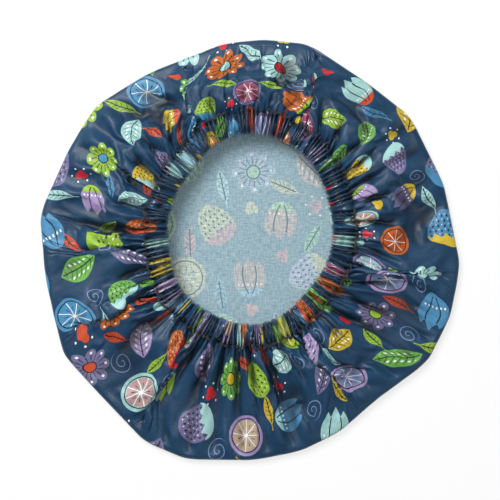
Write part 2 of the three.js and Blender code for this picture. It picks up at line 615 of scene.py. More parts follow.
    def _painted(self, graph: Graph, spot: Spot, brush: Value, colours: Sequence[Sequence[float]]) -> Value:
        """Paints a motif in one of some colours, darkened by brush marks."""
        colour = self._pick(graph, spot.hue, colours)
        return graph.mix((brush - 0.4) * 0.7, colour, self._paled(self.DARK))

    def _berries(self, graph: Graph, across: Value, along: Value, under: Value) -> Value:
        """Draws the small berries, dots and curls that lie in the gaps.

        Args:
            graph: The graph.
            across: Place across the cloth.
            along: Place along the cloth.
            under: Colour of what lies under them.

        Returns:
            The colour with them drawn on it.
        """
        spot = self._spot(graph, across, along, (0.0, 2 / 3), self.berry_radius)
        berry = spot.distance < 0.5 + abs((spot.angle * 1.5).cosine()) * 0.32
        sector = ((spot.angle * (6 / FULL_TURN)).fraction() - 0.5) * 1.2
        from_ring = spot.distance - 1.15
        dots = sector * sector + from_ring * from_ring < 0.014
        wound = (spot.distance * 1.5 - spot.angle / FULL_TURN).fraction()
        curl = wound.near(0.5, 0.085) * (spot.distance < 1.35)
        colour = self._pick(graph, spot.hue, (self.BERRY, self.MUSTARD, self.BERRY, self.EMBER))
        drawn = graph.mix(curl * (spot.pick > self.curled), under, self._paled(self.CURL))
        drawn = graph.mix(dots * (spot.pick < self.dotted), drawn, self.PALE)
        return graph.mix(berry * (spot.pick < self.berries), drawn, colour)

    def _sprigs(self, graph: Graph, across: Value, along: Value, under: Value, brush: Value) -> Value:
        """Draws the slim leaf sprigs that lie in the other gaps.

        Args:
            graph: The graph.
            across: Place across the cloth.
            along: Place along the cloth.
            under: Colour of what lies under them.
            brush: The brush marks.

        Returns:
            The colour with them drawn on it.
        """
        spot = self._spot(graph, across, along, (0.5, 1 / 3), self.sprig_radius)
        side = abs(spot.y)
        spread = (1.0 - spot.x * spot.x) * 0.36
        body = (side < spread).highest(spot.x.near(-1.15, 0.2) * (side < 0.035))
        ribs = (spot.x * 3.4 - side * 2.6).fraction().near(0.5, 0.07)
        lines = (side < 0.04).highest(ribs * (side < spread - 0.07)) * (abs(spot.x) < 0.86)
        colours = (self.LIME, self.AQUA, self.EMBER, self.GREEN, self.SKY, self.MUSTARD)
        painted = self._painted(graph, spot, brush, colours)
        here = spot.pick < self.sprigs
        return graph.mix(lines * here, graph.mix(body * here, under, painted), self._ink())

    @staticmethod
    def _blossom(spot: Spot) -> Motif:
        """Draws an open flower of eight petals.

        Args:
            spot: A point's place on the motif.

        Returns:
            The masks that draw it.
        """
        petals = abs((spot.angle * 4.0).cosine())
        edge = petals.power(0.6) * 0.34 + 0.62
        veins = (petals > 0.985) * (spot.distance > 0.38) * (spot.distance < 0.68)
        clefts = (petals < 0.16) * (spot.distance > 0.32) * (spot.distance < 0.64)
        return Motif(
            body=spot.distance < edge,
            lines=veins.highest(clefts).highest(spot.distance.near(0.29, 0.03)),
            heart=spot.distance < 0.29,
            pips=spot.distance.near(0.78, 0.055) * (petals > 0.955),
        )

    @staticmethod
    def _leaf(spot: Spot) -> Motif:
        """Draws a broad leaf with its veins.

        Args:
            spot: A point's place on the motif.

        Returns:
            The masks that draw it.
        """
        side = abs(spot.y)
        spread = (1.0 - spot.x * spot.x) * 0.62
        ribs = (spot.x * 3.6 - side * 2.2).fraction().near(0.5, 0.06)
        lines = (side < 0.03).highest(ribs * (side < spread - 0.12)) * (abs(spot.x) < 0.9)
        along = (spot.x * 3.6 - side * 2.2 + 0.5).fraction()
        return Motif(
            body=side < spread,
            lines=lines,
            heart=0.0,
            pips=along.near(0.5, 0.2) * side.near(0.27, 0.055) * (side < spread - 0.1),
        )

    @staticmethod
    def _tulip(spot: Spot) -> Motif:
        """Draws a tulip head with three tips.

        Args:
            spot: A point's place on the motif.

        Returns:
            The masks that draw it.
        """
        cup = spot.x * spot.x * 1.9 + (spot.y + 0.12) * (spot.y + 0.12) * 1.3
        tips = 0.36 + (spot.x * 1.75 + 0.5).fraction().pingpong(0.5) * 0.8
        lines = abs(spot.x).near(0.3 - spot.y * spot.y * 0.3, 0.03) * (spot.y < 0.35)
        beads = (spot.x * 5.0).fraction().near(0.5, 0.2)
        return Motif(
            body=(cup < 1.0) * (spot.y < tips),
            lines=lines * (spot.y > -0.85),
            heart=(cup < 1.0) * (spot.y < -0.62),
            pips=spot.y.near(-0.44, 0.05) * beads * (abs(spot.x) < 0.6),
        )

    @staticmethod
    def _slice(spot: Spot) -> Motif:
        """Draws a cut round of citrus fruit with its segments.

        Args:
            spot: A point's place on the motif.

        Returns:
            The masks that draw it.
        """
        rays = abs((spot.angle * 4.0).sine())
        segments = (spot.distance < 0.7) * (spot.distance > 0.12) * (rays * spot.distance > 0.12)
        seeds = spot.distance.near(0.4, 0.1) * (abs((spot.angle * 4.0).cosine()) < 0.16)
        return Motif(
            body=spot.distance < 0.92,
            lines=spot.distance.near(0.76, 0.025).highest(seeds),
            heart=segments * 0.55,
            pips=(spot.distance < 0.72) * (rays * spot.distance < 0.07),
        )

    @staticmethod
    def _strawberry(spot: Spot) -> Motif:
        """Draws a strawberry with its seeds and its leafy cap.

        Args:
            spot: A point's place on the motif.

        Returns:
            The masks that draw it.
        """
        egg = spot.x * spot.x * (1.5 - spot.y * 0.75) + spot.y * spot.y
        seeds_x = (spot.x * 4.2 + (spot.y * 2.1).floor() * 0.5).fraction()
        seeds = seeds_x.near(0.5, 0.14) * (spot.y * 4.2).fraction().near(0.5, 0.24)
        dots = seeds_x.near(0.05, 0.07) * (spot.y * 4.2).fraction().near(0.2, 0.12)
        cap = spot.y > 0.5 - abs((spot.x * 2.4).fraction() - 0.5) * 0.5
        return Motif(
            body=egg < 0.82,
            lines=seeds * (egg < 0.62) * (1.0 - cap),
            heart=(egg < 0.9) * cap,
            pips=dots * (egg < 0.6) * (1.0 - cap),
        )

    def _motifs(self, graph: Graph, across: Value, along: Value, under: Value, brush: Value) -> Value:
        """Draws the main motifs, one kind at each place.

        Args:
            graph: The graph.
            across: Place across the cloth.
            along: Place along the cloth.
            under: Colour of what lies under them.
            brush: The brush marks.

        Returns:
            The colour with them drawn on it.
        """
        spot = self._spot(graph, across, along, (0.0, 0.0), self.motif_radius)
        kinds = (self._blossom, self._leaf, self._tulip, self._slice, self._strawberry)
        body, lines, heart, pips = 0.0, 0.0, 0.0, 0.0
        for index, kind in enumerate(kinds):
            here = (spot.pick * len(kinds)).floor().near(float(index), 0.5)
            motif = kind(spot)
            body = here * motif.body + body
            lines = here * motif.lines + lines
            heart = here * motif.heart + heart
            pips = here * motif.pips + pips
        colours = (
            self.RUST, self.LIME, self.LILAC, self.MUSTARD, self.VIOLET,
            self.AQUA, self.GREEN, self.SKY, self.VIOLET,
        )
        hearts = (self.MUSTARD, self.BERRY, self.AQUA, self.LIME, self.SKY, self.EMBER)
        drawn = graph.mix(body, under, self._painted(graph, spot, brush, colours))
        drawn = graph.mix(heart, drawn, self._pick(graph, (spot.hue * 3.7 + spot.pick).fraction(), hearts))
        drawn = graph.mix(pips, drawn, self.PALE)
        return graph.mix(lines, drawn, self._ink())


@dataclass(frozen=True)
class PrintedFace:
    """The cap's outside: printed cotton under a clear waterproof film.

    Attributes:
        name: Name of the material.
        artwork: The print.
        roughness: Roughness of the cloth.
        yarn: Distance between yarns of the weave.
        film: Strength of the film's gloss.
        depth: How dark the shade painted into the deep hollows between folds is.
        crinkles: Crinkles to the metre.
        relief: Height of the crinkles.
    """

    name: str = "printed_face"
    artwork: GardenPrint = field(default_factory=GardenPrint)
    roughness: float = 0.42
    yarn: float = 0.0006
    film: float = 0.16
    depth: float = 0.82
    crinkles: float = 70.0
    relief: float = 0.0016

    # Colour of the shade painted into the hollows between folds.
    HOLLOW_SHADE = linear(6, 9, 16)

    def material(self) -> bpy.types.Material:
        """Draws the printed and filmed cloth.

        Returns:
            The material.
        """
        made, graph = shaded(self.name)
        across, along = graph.flat_place()
        flat = graph.join(across, along)
        yarns = graph.weave(across, along, self.yarn)
        crinkle = graph.noise(flat, self.crinkles, detail=7.0, roughness=0.62)
        # Painted shade: the print darkens towards the hollow shade where the cloth lies deep between folds
        # and pleats.
        hollow = graph.add("ShaderNodeAttribute", {"attribute_name": HOLLOW}, output="Fac")
        colour = graph.mix(hollow * self.depth, self.artwork.colour(graph), self.HOLLOW_SHADE)
        graph.surface({
            "Base Color": colour,
            "Roughness": crinkle * 0.2 + (self.roughness - 0.1),
            "Normal": graph.bump(strength=0.6, distance=self.relief, height=crinkle + yarns * 0.03),
            "Specular IOR Level": 0.3,
            "Coat Weight": self.film,
            "Coat Roughness": 0.22,
            "Sheen Weight": 0.03,
            "Sheen Roughness": 0.4,
        })
        return made


@dataclass(frozen=True)
class ReverseFace:
    """The cap's inside: the bare back of the cotton, with the print showing through faintly.

    Attributes:
        artwork: The print as it shows through.
        yarn: Distance between yarns of the weave.
        slubs: Slubs to the metre, along the yarns.
        slimness: How many times longer than wide a slub is.
        relief: Height of the slubs.
    """

    artwork: GardenPrint = field(default_factory=lambda: GardenPrint(fade=0.56))
    yarn: float = 0.0008
    slubs: float = 210.0
    slimness: float = 5.0
    relief: float = 0.0006

    YARN_SHADE = linear(92, 138, 158)

    def material(self) -> bpy.types.Material:
        """Draws the bare cloth with its slubs.

        Returns:
            The material.
        """
        made, graph = shaded("reverse_face")
        across, along = graph.flat_place()
        warp = graph.join(across * self.slimness, along)
        weft = graph.join(across, along * self.slimness)
        warp_slub = graph.noise(warp, self.slubs, detail=3.0, roughness=0.7)
        weft_slub = graph.noise(weft, self.slubs, detail=3.0, roughness=0.7)
        slub = (warp_slub + weft_slub) * 0.5
        yarns = graph.weave(across, along, self.yarn)
        grain = ((slub - 0.5) * 4.6 + 0.5 + yarns * 0.14).highest(0.0).lowest(1.0)
        colour = graph.mix(grain * 0.85 + 0.22, self.YARN_SHADE, self.artwork.colour(graph))
        graph.surface({
            "Base Color": colour,
            "Roughness": slub * 0.2 + 0.75,
            "Normal": graph.bump(strength=0.5, distance=self.relief, height=slub + yarns * 0.12),
            "Specular IOR Level": 0.2,
            "Sheen Weight": 0.1,
            "Sheen Roughness": 0.6,
        })
        return made


@dataclass(frozen=True)
class BraidedElastic:
    """White braided elastic: ribs along its length, crossed by fine braid.

    Attributes:
        rib: Distance between ribs.
        braid: Length of one crossing of the braid.
        relief: Height of the ribs.
    """

    rib: float = 0.0011
    braid: float = 0.0016
    relief: float = 0.0004

    GROOVE = linear(198, 194, 184)
    RIDGE = linear(240, 238, 230)

    def material(self) -> bpy.types.Material:
        """Draws the ribs and the braid.

        Returns:
            The material.
        """
        made, graph = shaded("braided_elastic")
        across, along = graph.flat_place()
        ribs = (across * (FULL_TURN / self.rib)).sine()
        braid = (along * (FULL_TURN / self.braid) + ribs * 1.4).sine()
        colour = graph.mix(ribs * 0.25 + braid * 0.15 + 0.5, self.GROOVE, self.RIDGE)
        bump = graph.bump(strength=0.6, distance=self.relief, height=ribs + braid * 0.5)
        rough = braid * 0.06 + 0.8
        graph.surface({"Base Color": colour, "Roughness": rough, "Normal": bump, "Sheen Weight": 0.25})
        return made


@dataclass(frozen=True)
class SpunThread:
    """Dark spun sewing thread, with its twist.

    Attributes:
        twist: Length of one turn of the twist.
        fuzz: Specks of fuzz to the metre.
        relief: Height of the strands.
    """

    twist: float = 0.0007
    fuzz: float = 2600.0
    relief: float = 0.0002

    DARK = linear(10, 12, 20)
    PALE_STRAND = linear(44, 50, 68)

    def material(self) -> bpy.types.Material:
        """Draws the twisted strands.

        Returns:
            The material.
        """
        made, graph = shaded("spun_thread")
        place = graph.add("ShaderNodeTexCoord", output="Object")
        x, y, z = graph.split(place)
        strands = ((x + y + z) * (FULL_TURN / self.twist)).sine()
        fuzz = graph.noise(place, self.fuzz, detail=2.0, roughness=0.6)
        # Paler along the twist's strands and in random specks of fuzz.
        colour = graph.mix(strands * 0.3 + fuzz * 0.4 + 0.1, self.DARK, self.PALE_STRAND)
        bump = graph.bump(strength=0.5, distance=self.relief, height=strands)
        rough = fuzz * 0.2 + 0.55
        graph.surface({"Base Color": colour, "Roughness": rough, "Normal": bump, "Sheen Weight": 0.2})
        return made


@dataclass(frozen=True)
class Wardrobe:
    """The cap's materials, each made once."""

    printed: bpy.types.Material
    ruched: bpy.types.Material
    reverse: bpy.types.Material
    elastic: bpy.types.Material
    thread: bpy.types.Material

    @classmethod
    def made(cls) -> Wardrobe:
        """Makes every material.

        Returns:
            The materials.
        """
        return cls(
            PrintedFace().material(),
            # The ruched face has more painted shade in its pleats' valleys, and a stronger film.
            PrintedFace("ruched_face", film=1.0, depth=0.92).material(),
            ReverseFace().material(),
            BraidedElastic().material(),
            SpunThread().material(),
        )


@dataclass(frozen=True)
class Sway:
    """A stretch of the band that bends off its oval.

    Attributes:
        angle: Middle of the stretch, in degrees round the mouth.
        spread: Degrees over which it fades.
        depth: How far it bends towards the middle of the mouth.
    """

    angle: float
    spread: float
    depth: float

    def inwards(self, angles: Array) -> Array:
        """Gives how far the band bends inwards at some angles round the mouth."""
        return self.depth * np.exp(-((degrees_past(angles, self.angle) / self.spread) ** 2))


@dataclass(frozen=True)
class CapShape:
    """Outlines and heights of the cap, read from the frame.

    Attributes:
        crown_angle: Angles of the crown's corners, in degrees, rising.
        crown_radius: Radii of the crown's corners.
        fold: Radius of the fold at the rim.
        middle: The mouth's middle, x and y.
        sewn_half: Half width and half length of the stitch line.
        band_middle: Height of the casing's middle, where the stitch line is.
        elastic_half: Half width and half length of the elastic's outer edge.
        lap_angle: Angle round the mouth at which the elastic's ends are lapped.
    """

    crown_angle: Array
    crown_radius: Array
    fold: float
    middle: Array
    sewn_half: Array
    band_middle: float
    elastic_half: Array
    lap_angle: float

    SWAYS = (Sway(16, 22, 0.0015), Sway(140, 22, 0.0034), Sway(217, 16, -0.0024), Sway(315, 24, 0.004))

    @classmethod
    def from_frame(cls, frame: dict[str, Any]) -> CapShape:
        """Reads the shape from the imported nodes.


        Returns:
            The shape.
        """
        crown = frame["nodes"]["crown_panel"].data
        corners = np.array([vertex.co[:2] for vertex in crown.vertices])
        corners = np.unique(np.round(corners, 6), axis=0)
        angle = np.degrees(np.arctan2(corners[:, 1], corners[:, 0])) % 360
        order = np.argsort(angle)
        low, high = (np.array(corner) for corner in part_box("elastic_casing"))
        inner_low, inner_high = (np.array(corner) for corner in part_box("elastic_band"))
        lap_low, lap_high = (np.array(corner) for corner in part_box("elastic_lap_stitch"))
        lap = (lap_low + lap_high) / 2
        middle = (low[:2] + high[:2]) / 2
        half = (high[:2] - low[:2]) / 2
        return cls(
            crown_angle=angle[order],
            crown_radius=np.hypot(corners[:, 0], corners[:, 1])[order],
            fold=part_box("skirt_panel")[1].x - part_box("crown_panel")[1].x,
            middle=middle,
            sewn_half=half,
            band_middle=float(low[2] + high[2]) / 2,
            elastic_half=(inner_high[:2] - inner_low[:2]) / 2,
            lap_angle=float(np.arctan2((lap[1] - middle[1]) / half[1], (lap[0] - middle[0]) / half[0])),
        )

    def crown_reach(self, angles: Array) -> Array:
        """Returns the radius of the crown's edge at some angles, with its corners a little softened."""
        return round_turn(angles, self.crown_angle, self.crown_radius, blur=1.2)

    def mouth_ring(self, angles: Array, inset: Array | float, height: Array | float) -> Array:
        """Places points on a ring inside the stitch line, which sways a little off its oval.

        Args:
            angles: Angles round the mouth.
            inset: How far inside the stitch line.
            height: Height of the points.

        Returns:
            One point for each angle.
        """
        drawn_in = inset + sum(sway.inwards(angles) for sway in self.SWAYS)
        x = self.middle[0] + (self.sewn_half[0] - drawn_in) * np.cos(angles)
        y = self.middle[1] + (self.sewn_half[1] - drawn_in) * np.sin(angles)
        return np.stack([x, y, np.broadcast_to(height, x.shape)], axis=-1)


@dataclass(frozen=True)
class Fold:
    """One main fold of the skirt, named by its valley.

    Attributes:
        angle: Angle of the valley at the stitch line, in degrees round the mouth.
        reach: How far it runs from the stitch line, as a share of the way to the rim.
        lap: Which way its crest hangs over it.
        width: How much cloth a lapped fold takes up where it is widest.
    """

    angle: float
    reach: float = 0.6
    lap: Lap = Lap.OPEN
    width: float = 0.02


@dataclass(frozen=True)
class Gathering:
    """How the cloth is drawn in to the mouth: fine pleats at the elastic, and the main folds they run into.

    The cloth isn't spread evenly along the elastic, so angles round the cloth and round the mouth differ.

    Attributes:
        pleats: Number of pleats round the mouth.
        wander: How far a pleat lies off its even place, in pleats.
        unevenness: How much the pleats differ in height.
        mouth_marks: Some angles round the mouth, in degrees.
        cloth_lead: How far the cloth's angle is ahead at those marks, in degrees.
        folds: The main folds, by rising angle.
        crowding: Extra density of the columns of points at a lapped fold.
        crowd_spread: Degrees over which they thin out.
        crest_power: Power that shapes the round crests of the pleats.
        lowest_crest: Least height of a pleat, as a share of the usual height.
        highest_crest: Greatest height of a pleat, as a share of the usual height.
        deepest: Lowest point of the pleats' valleys.
        valley_power: Power that narrows the valleys of the main folds.
        pleat_start: Place in the skirt where the pleats start, from 0 at the rim to 1 at the stitch line.
        pleat_growth: Share of the way over which the pleats grow.
        lap_growth: Share of the way over which a lapped fold grows from its tip.
        lap_edge: Degrees over which a lapped fold turns under.
        lap_spread: Degrees over which the shift of its cloth fades.
        lap_lift: Half the lift of its crest, as a share of its width.
        lift_spread: Degrees over which the lift fades.
    """

    pleats: int = 130
    wander: float = 0.4
    unevenness: float = 0.26
    mouth_marks: tuple[float, ...] = (60, 121, 187, 236, 300, 340)
    cloth_lead: tuple[float, ...] = (12, -14, -14, 2, 8, 10)
    folds: tuple[Fold, ...] = (
        Fold(2), Fold(11, 0.45), Fold(19, 0.5), Fold(27, 0.4), Fold(34, 0.8), Fold(42, 0.45), Fold(49),
        Fold(62, 1.0, Lap.BACK), Fold(71, 0.4), Fold(79, 0.5), Fold(87, 0.45), Fold(94, 0.5), Fold(101, 0.4),
        Fold(108, 0.5), Fold(122, 1.0, Lap.FORWARD), Fold(131, 0.4), Fold(139, 0.45), Fold(147, 0.7),
        Fold(155, 0.45), Fold(163), Fold(172, 0.45), Fold(181, 0.4), Fold(190, 0.75, Lap.FORWARD, 0.014),
        Fold(200, 0.45), Fold(211, 0.9, Lap.BACK, 0.022), Fold(222), Fold(237, 1.0, Lap.FORWARD, 0.022),
        Fold(244, 0.4), Fold(250), Fold(256, 0.45), Fold(263, 0.7), Fold(270, 0.5), Fold(277, 0.55),
        Fold(285, 0.45), Fold(297, 0.8, Lap.BACK), Fold(304, 0.4), Fold(311, 0.5), Fold(318, 0.45), Fold(325),
        Fold(333, 0.4), Fold(341, 0.9, Lap.FORWARD), Fold(351, 0.45),
    )
    crowding: float = 1.7
    crowd_spread: float = 3.5
    crest_power: float = 0.95
    lowest_crest: float = 0.6
    highest_crest: float = 1.3
    deepest: float = -1.05
    valley_power: float = 2.4
    pleat_start: float = 0.55
    pleat_growth: float = 0.45
    lap_growth: float = 0.3
    lap_edge: float = 1.3
    lap_spread: float = 16
    lap_lift: float = 0.14
    lift_spread: float = 8

    FINE_COLUMNS = 4096

    def columns(self, count: int) -> Array:
        """Spaces angles round the mouth, closer together at the lapped folds.

        Args:
            count: Number of angles.

        Returns:
            The angles, rising.
        """
        fine = even_angles(self.FINE_COLUMNS)
        closeness = np.ones_like(fine)
        for fold in self.folds:
            away = degrees_past(fine, fold.angle)
            closeness += self.crowding * abs(fold.lap.value) * np.exp(-((away / self.crowd_spread) ** 2))
        passed = np.concatenate([[0], np.cumsum(closeness)]) / closeness.sum()
        return np.interp(np.arange(count) / count, passed, np.append(fine, FULL_TURN))

    def cloth_angle(self, angles: Array) -> Array:
        """Gives the angle round the cloth that is sewn at some angles round the mouth."""
        return angles + np.radians(round_turn(angles, self.mouth_marks, self.cloth_lead, blur=16))

    def pleat(self, angles: Array, drift: Array | float = 0.0) -> Array:
        """Gives the height of the pleats at some angles round the mouth, from about -1 to 1.

        Args:
            angles: Angles round the mouth.
            drift: Shift of the pleats, in pleats.

        Returns:
            The height, with round crests and sharp valleys, as of tubes that lie side by side.
        """
        wandered = self.wander * soft_noise(angles, lowest=9, highest=46, seed=11)
        place = angles * (self.pleats / FULL_TURN) + wandered + drift
        rise = 2.0 * np.abs(np.sin(math.pi * place)) ** self.crest_power - 1.0
        size = 1 + self.unevenness * soft_noise(angles, lowest=20, highest=70, seed=12)
        uneven = rise * np.clip(size, self.lowest_crest, self.highest_crest)
        return np.maximum(uneven, self.deepest)

    def fold_height(self, angles: Array) -> Array:
        """Gives the height of the main folds.

        Args:
            angles: Angles round the mouth.

        Returns:
            The heights, -1 in the narrow valleys and 1 on the broad crests.
        """
        valleys = np.radians([fold.angle for fold in self.folds] + [self.folds[0].angle + 360])
        place = np.interp((angles - valleys[0]) % FULL_TURN, valleys - valleys[0], np.arange(valleys.size))
        return 1 - 2 * np.abs(np.cos(math.pi * place)) ** self.valley_power

    def fold_reach(self, angles: Array) -> Array:
        """Gives how far the folds run towards the rim."""
        places = [fold.angle for fold in self.folds]
        return round_turn(angles, places, [fold.reach for fold in self.folds], blur=3)

    def pleated(self, share: float) -> float:
        """Gives how far the pleats have grown in a row of the skirt, from 0 to 1 at the stitch line."""
        return float(ease((share - self.pleat_start) / self.pleat_growth))

    def laps(self, angles: Array, share: float) -> tuple[Array, Array]:
        """Gives how the lapped folds shift one row of the skirt.

        Args:
            angles: Angles round the mouth.
            share: Place of the row, from 0 at the rim to 1 at the stitch line.

        Returns:
            How far the cloth is shifted along the row, and how far it is lifted.
        """
        along, lift = np.zeros_like(angles), np.zeros_like(angles)
        for fold in self.folds:
            from_tip = max(0.0, min(1.0, (share - 1 + fold.reach) / self.lap_growth))
            grown = from_tip * (1 - self.pleated(share))
            past = degrees_past(angles, fold.angle) * fold.lap.value
            under = np.tanh(past / self.lap_edge)
            width = abs(fold.lap.value) * fold.width * grown
            along -= fold.lap.value * 0.5 * width * under * np.exp(-((past / self.lap_spread) ** 2))
            lift += self.lap_lift * width * (1 - under) * np.exp(-((past / self.lift_spread) ** 2))
        return along, lift


@dataclass
class ClothGrid:
    """Cloth as rows of points, each row a closed ring, with each point's place on the flat cloth.

    Attributes:
        points: The rows, from the cloth's middle outwards or, on a strip, along it.
        flat: The same points on the flat cloth, x and y.
        hollow: How deep each point lies between folds, from 0 to 1, which sets the shade painted there.
    """

    points: Array
    flat: Array
    hollow: Array | None = None

    def refined(self, rows: int, columns: int) -> ClothGrid:
        """Redraws the cloth with more rows and columns on smooth curves.

        Args:
            rows: Number of rows.
            columns: Number of columns.

        Returns:
            The finer cloth, with no hollows yet.
        """
        def finer(values: Array) -> Array:
            """Redraws one set of points."""
            long = resample(values, rows, closed=False)
            return resample(long.swapaxes(0, 1), columns, closed=True).swapaxes(0, 1)

        return ClothGrid(finer(self.points), finer(self.flat))

    def mesh(self, name: str) -> bpy.types.Object:
        """Makes the cloth a mesh with its flat map, its printed side outwards.

        Args:
            name: Name of the object.

        Returns:
            The object, linked to the scene.
        """
        rows, columns = self.points.shape[:2]
        index = np.arange(rows * columns).reshape(rows, columns)
        after = np.roll(index, -1, axis=1)
        quads = np.stack([index[:-1], after[:-1], after[1:], index[1:]], axis=-1).reshape(-1, 4)
        data = bpy.data.meshes.new(name)
        data.from_pydata(self.points.reshape(-1, 3).tolist(), [], quads.tolist())
        layer = data.uv_layers.new(name=CLOTH_MAP)
        flat = self.flat.reshape(-1, 2)
        corners = np.empty(len(data.loops), dtype=np.int32)
        data.loops.foreach_get("vertex_index", corners)
        layer.data.foreach_set("uv", flat[corners].astype(np.float32).ravel())
        data.polygons.foreach_set("use_smooth", np.ones(len(data.polygons), dtype=bool))
        # The depths between folds go into an attribute for the painted shade.
        if self.hollow is not None:
            depths = data.attributes.new(HOLLOW, "FLOAT", "POINT")
            depths.data.foreach_set("value", self.hollow.astype(np.float32).ravel())
        made = bpy.data.objects.new(name, data)
        bpy.context.scene.collection.objects.link(made)
        return made


def select_only(*pieces: bpy.types.Object) -> None:
    """Selects some pieces and nothing else, the first of them active.

    Args:
        pieces: The pieces.
    """
    bpy.ops.object.select_all(action="DESELECT")
    for piece in pieces:
        piece.select_set(True)
    bpy.context.view_layer.objects.active = pieces[0]


def apply_modifiers(piece: bpy.types.Object) -> None:
    """Applies a piece's modifiers in order, with nothing else selected.

    Args:
        piece: The piece.
    """
    select_only(piece)
    for modifier in list(piece.modifiers):
        bpy.ops.object.modifier_apply(modifier=modifier.name)
    piece.select_set(False)


def line_cloth(
    piece: bpy.types.Object, thickness: float, outside: bpy.types.Material, inside: bpy.types.Material
) -> None:
    """Gives a sheet its thickness, printed outside and bare inside.

    Args:
        piece: The sheet.
        thickness: Thickness of the cloth.
        outside: Material of the printed side.
        inside: Material of the bare side.
    """
    piece.data.materials.append(outside)
    piece.data.materials.append(inside)
    wall = piece.modifiers.new("wall", "SOLIDIFY")
    wall.thickness = thickness
    wall.offset = -1.0
    wall.material_offset = 1
    wall.use_rim = True
    apply_modifiers(piece)


@dataclass
class Crown:
    """The flat middle of the cloth disc, which the cap lies on.

    Attributes:
        shape: The cap's outlines.
        cloth: Thickness of the cloth.
        rings: Rows of points from the middle to the edge.
        columns: Points round the crown.
        ripple: Height of the soft ripples in the cloth.
        hole: Share of the radius that is open in the middle before it is closed.
        calm: How fast the ripples grow from the edge inwards.
        cross_ripple: Height of the ripples that cross the others, as a share.
    """

    shape: CapShape
    cloth: float = CLOTH_THICKNESS
    rings: int = 44
    columns: int = 240
    ripple: float = 0.0007
    hole: float = 0.004
    calm: float = 6.0
    cross_ripple: float = 0.6

    def build(self) -> bpy.types.Object:
        """Lays the crown out.

        Returns:
            The sheet, still open in its middle.
        """
        angles = even_angles(self.columns)
        share = np.linspace(self.hole, 1.0, self.rings)[:, None]
        reach = self.shape.crown_reach(angles)[None, :]
        flat = np.stack([share * reach * np.cos(angles), share * reach * np.sin(angles)], axis=-1)
        x, y = flat[..., 0], flat[..., 1]
        waves = np.sin(61 * x + 23 * y + 1.0) * np.sin(47 * y - 17 * x)
        waves += self.cross_ripple * np.sin(97 * x - 71 * y + 2.0)
        lift = self.ripple * (waves / (1 + self.cross_ripple) + 1) * ease((1 - share) * self.calm)
        points = np.concatenate([flat, lift[..., None]], axis=-1)
        return ClothGrid(points, flat).mesh("crown_cloth")

    def dress(self, piece: bpy.types.Object, wardrobe: Wardrobe) -> None:
        """Closes the middle, thickens the cloth and fits it to the frame.

        Args:
            piece: What build returned.
            wardrobe: The cap's materials.
        """
        select_only(piece)
        chosen = np.arange(len(piece.data.vertices)) < self.columns
        bpy.ops.object.mode_set(mode="EDIT")
        bpy.ops.mesh.select_mode(type="VERT")
        bpy.ops.mesh.select_all(action="DESELECT")
        bpy.ops.object.mode_set(mode="OBJECT")
        piece.data.vertices.foreach_set("select", chosen)
        bpy.ops.object.mode_set(mode="EDIT")
        bpy.ops.mesh.merge(type="CENTER")
        bpy.ops.object.mode_set(mode="OBJECT")
        line_cloth(piece, self.cloth, wardrobe.printed, wardrobe.reverse)
        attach(piece, Body.CROWN.value)
        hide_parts("crown_panel")


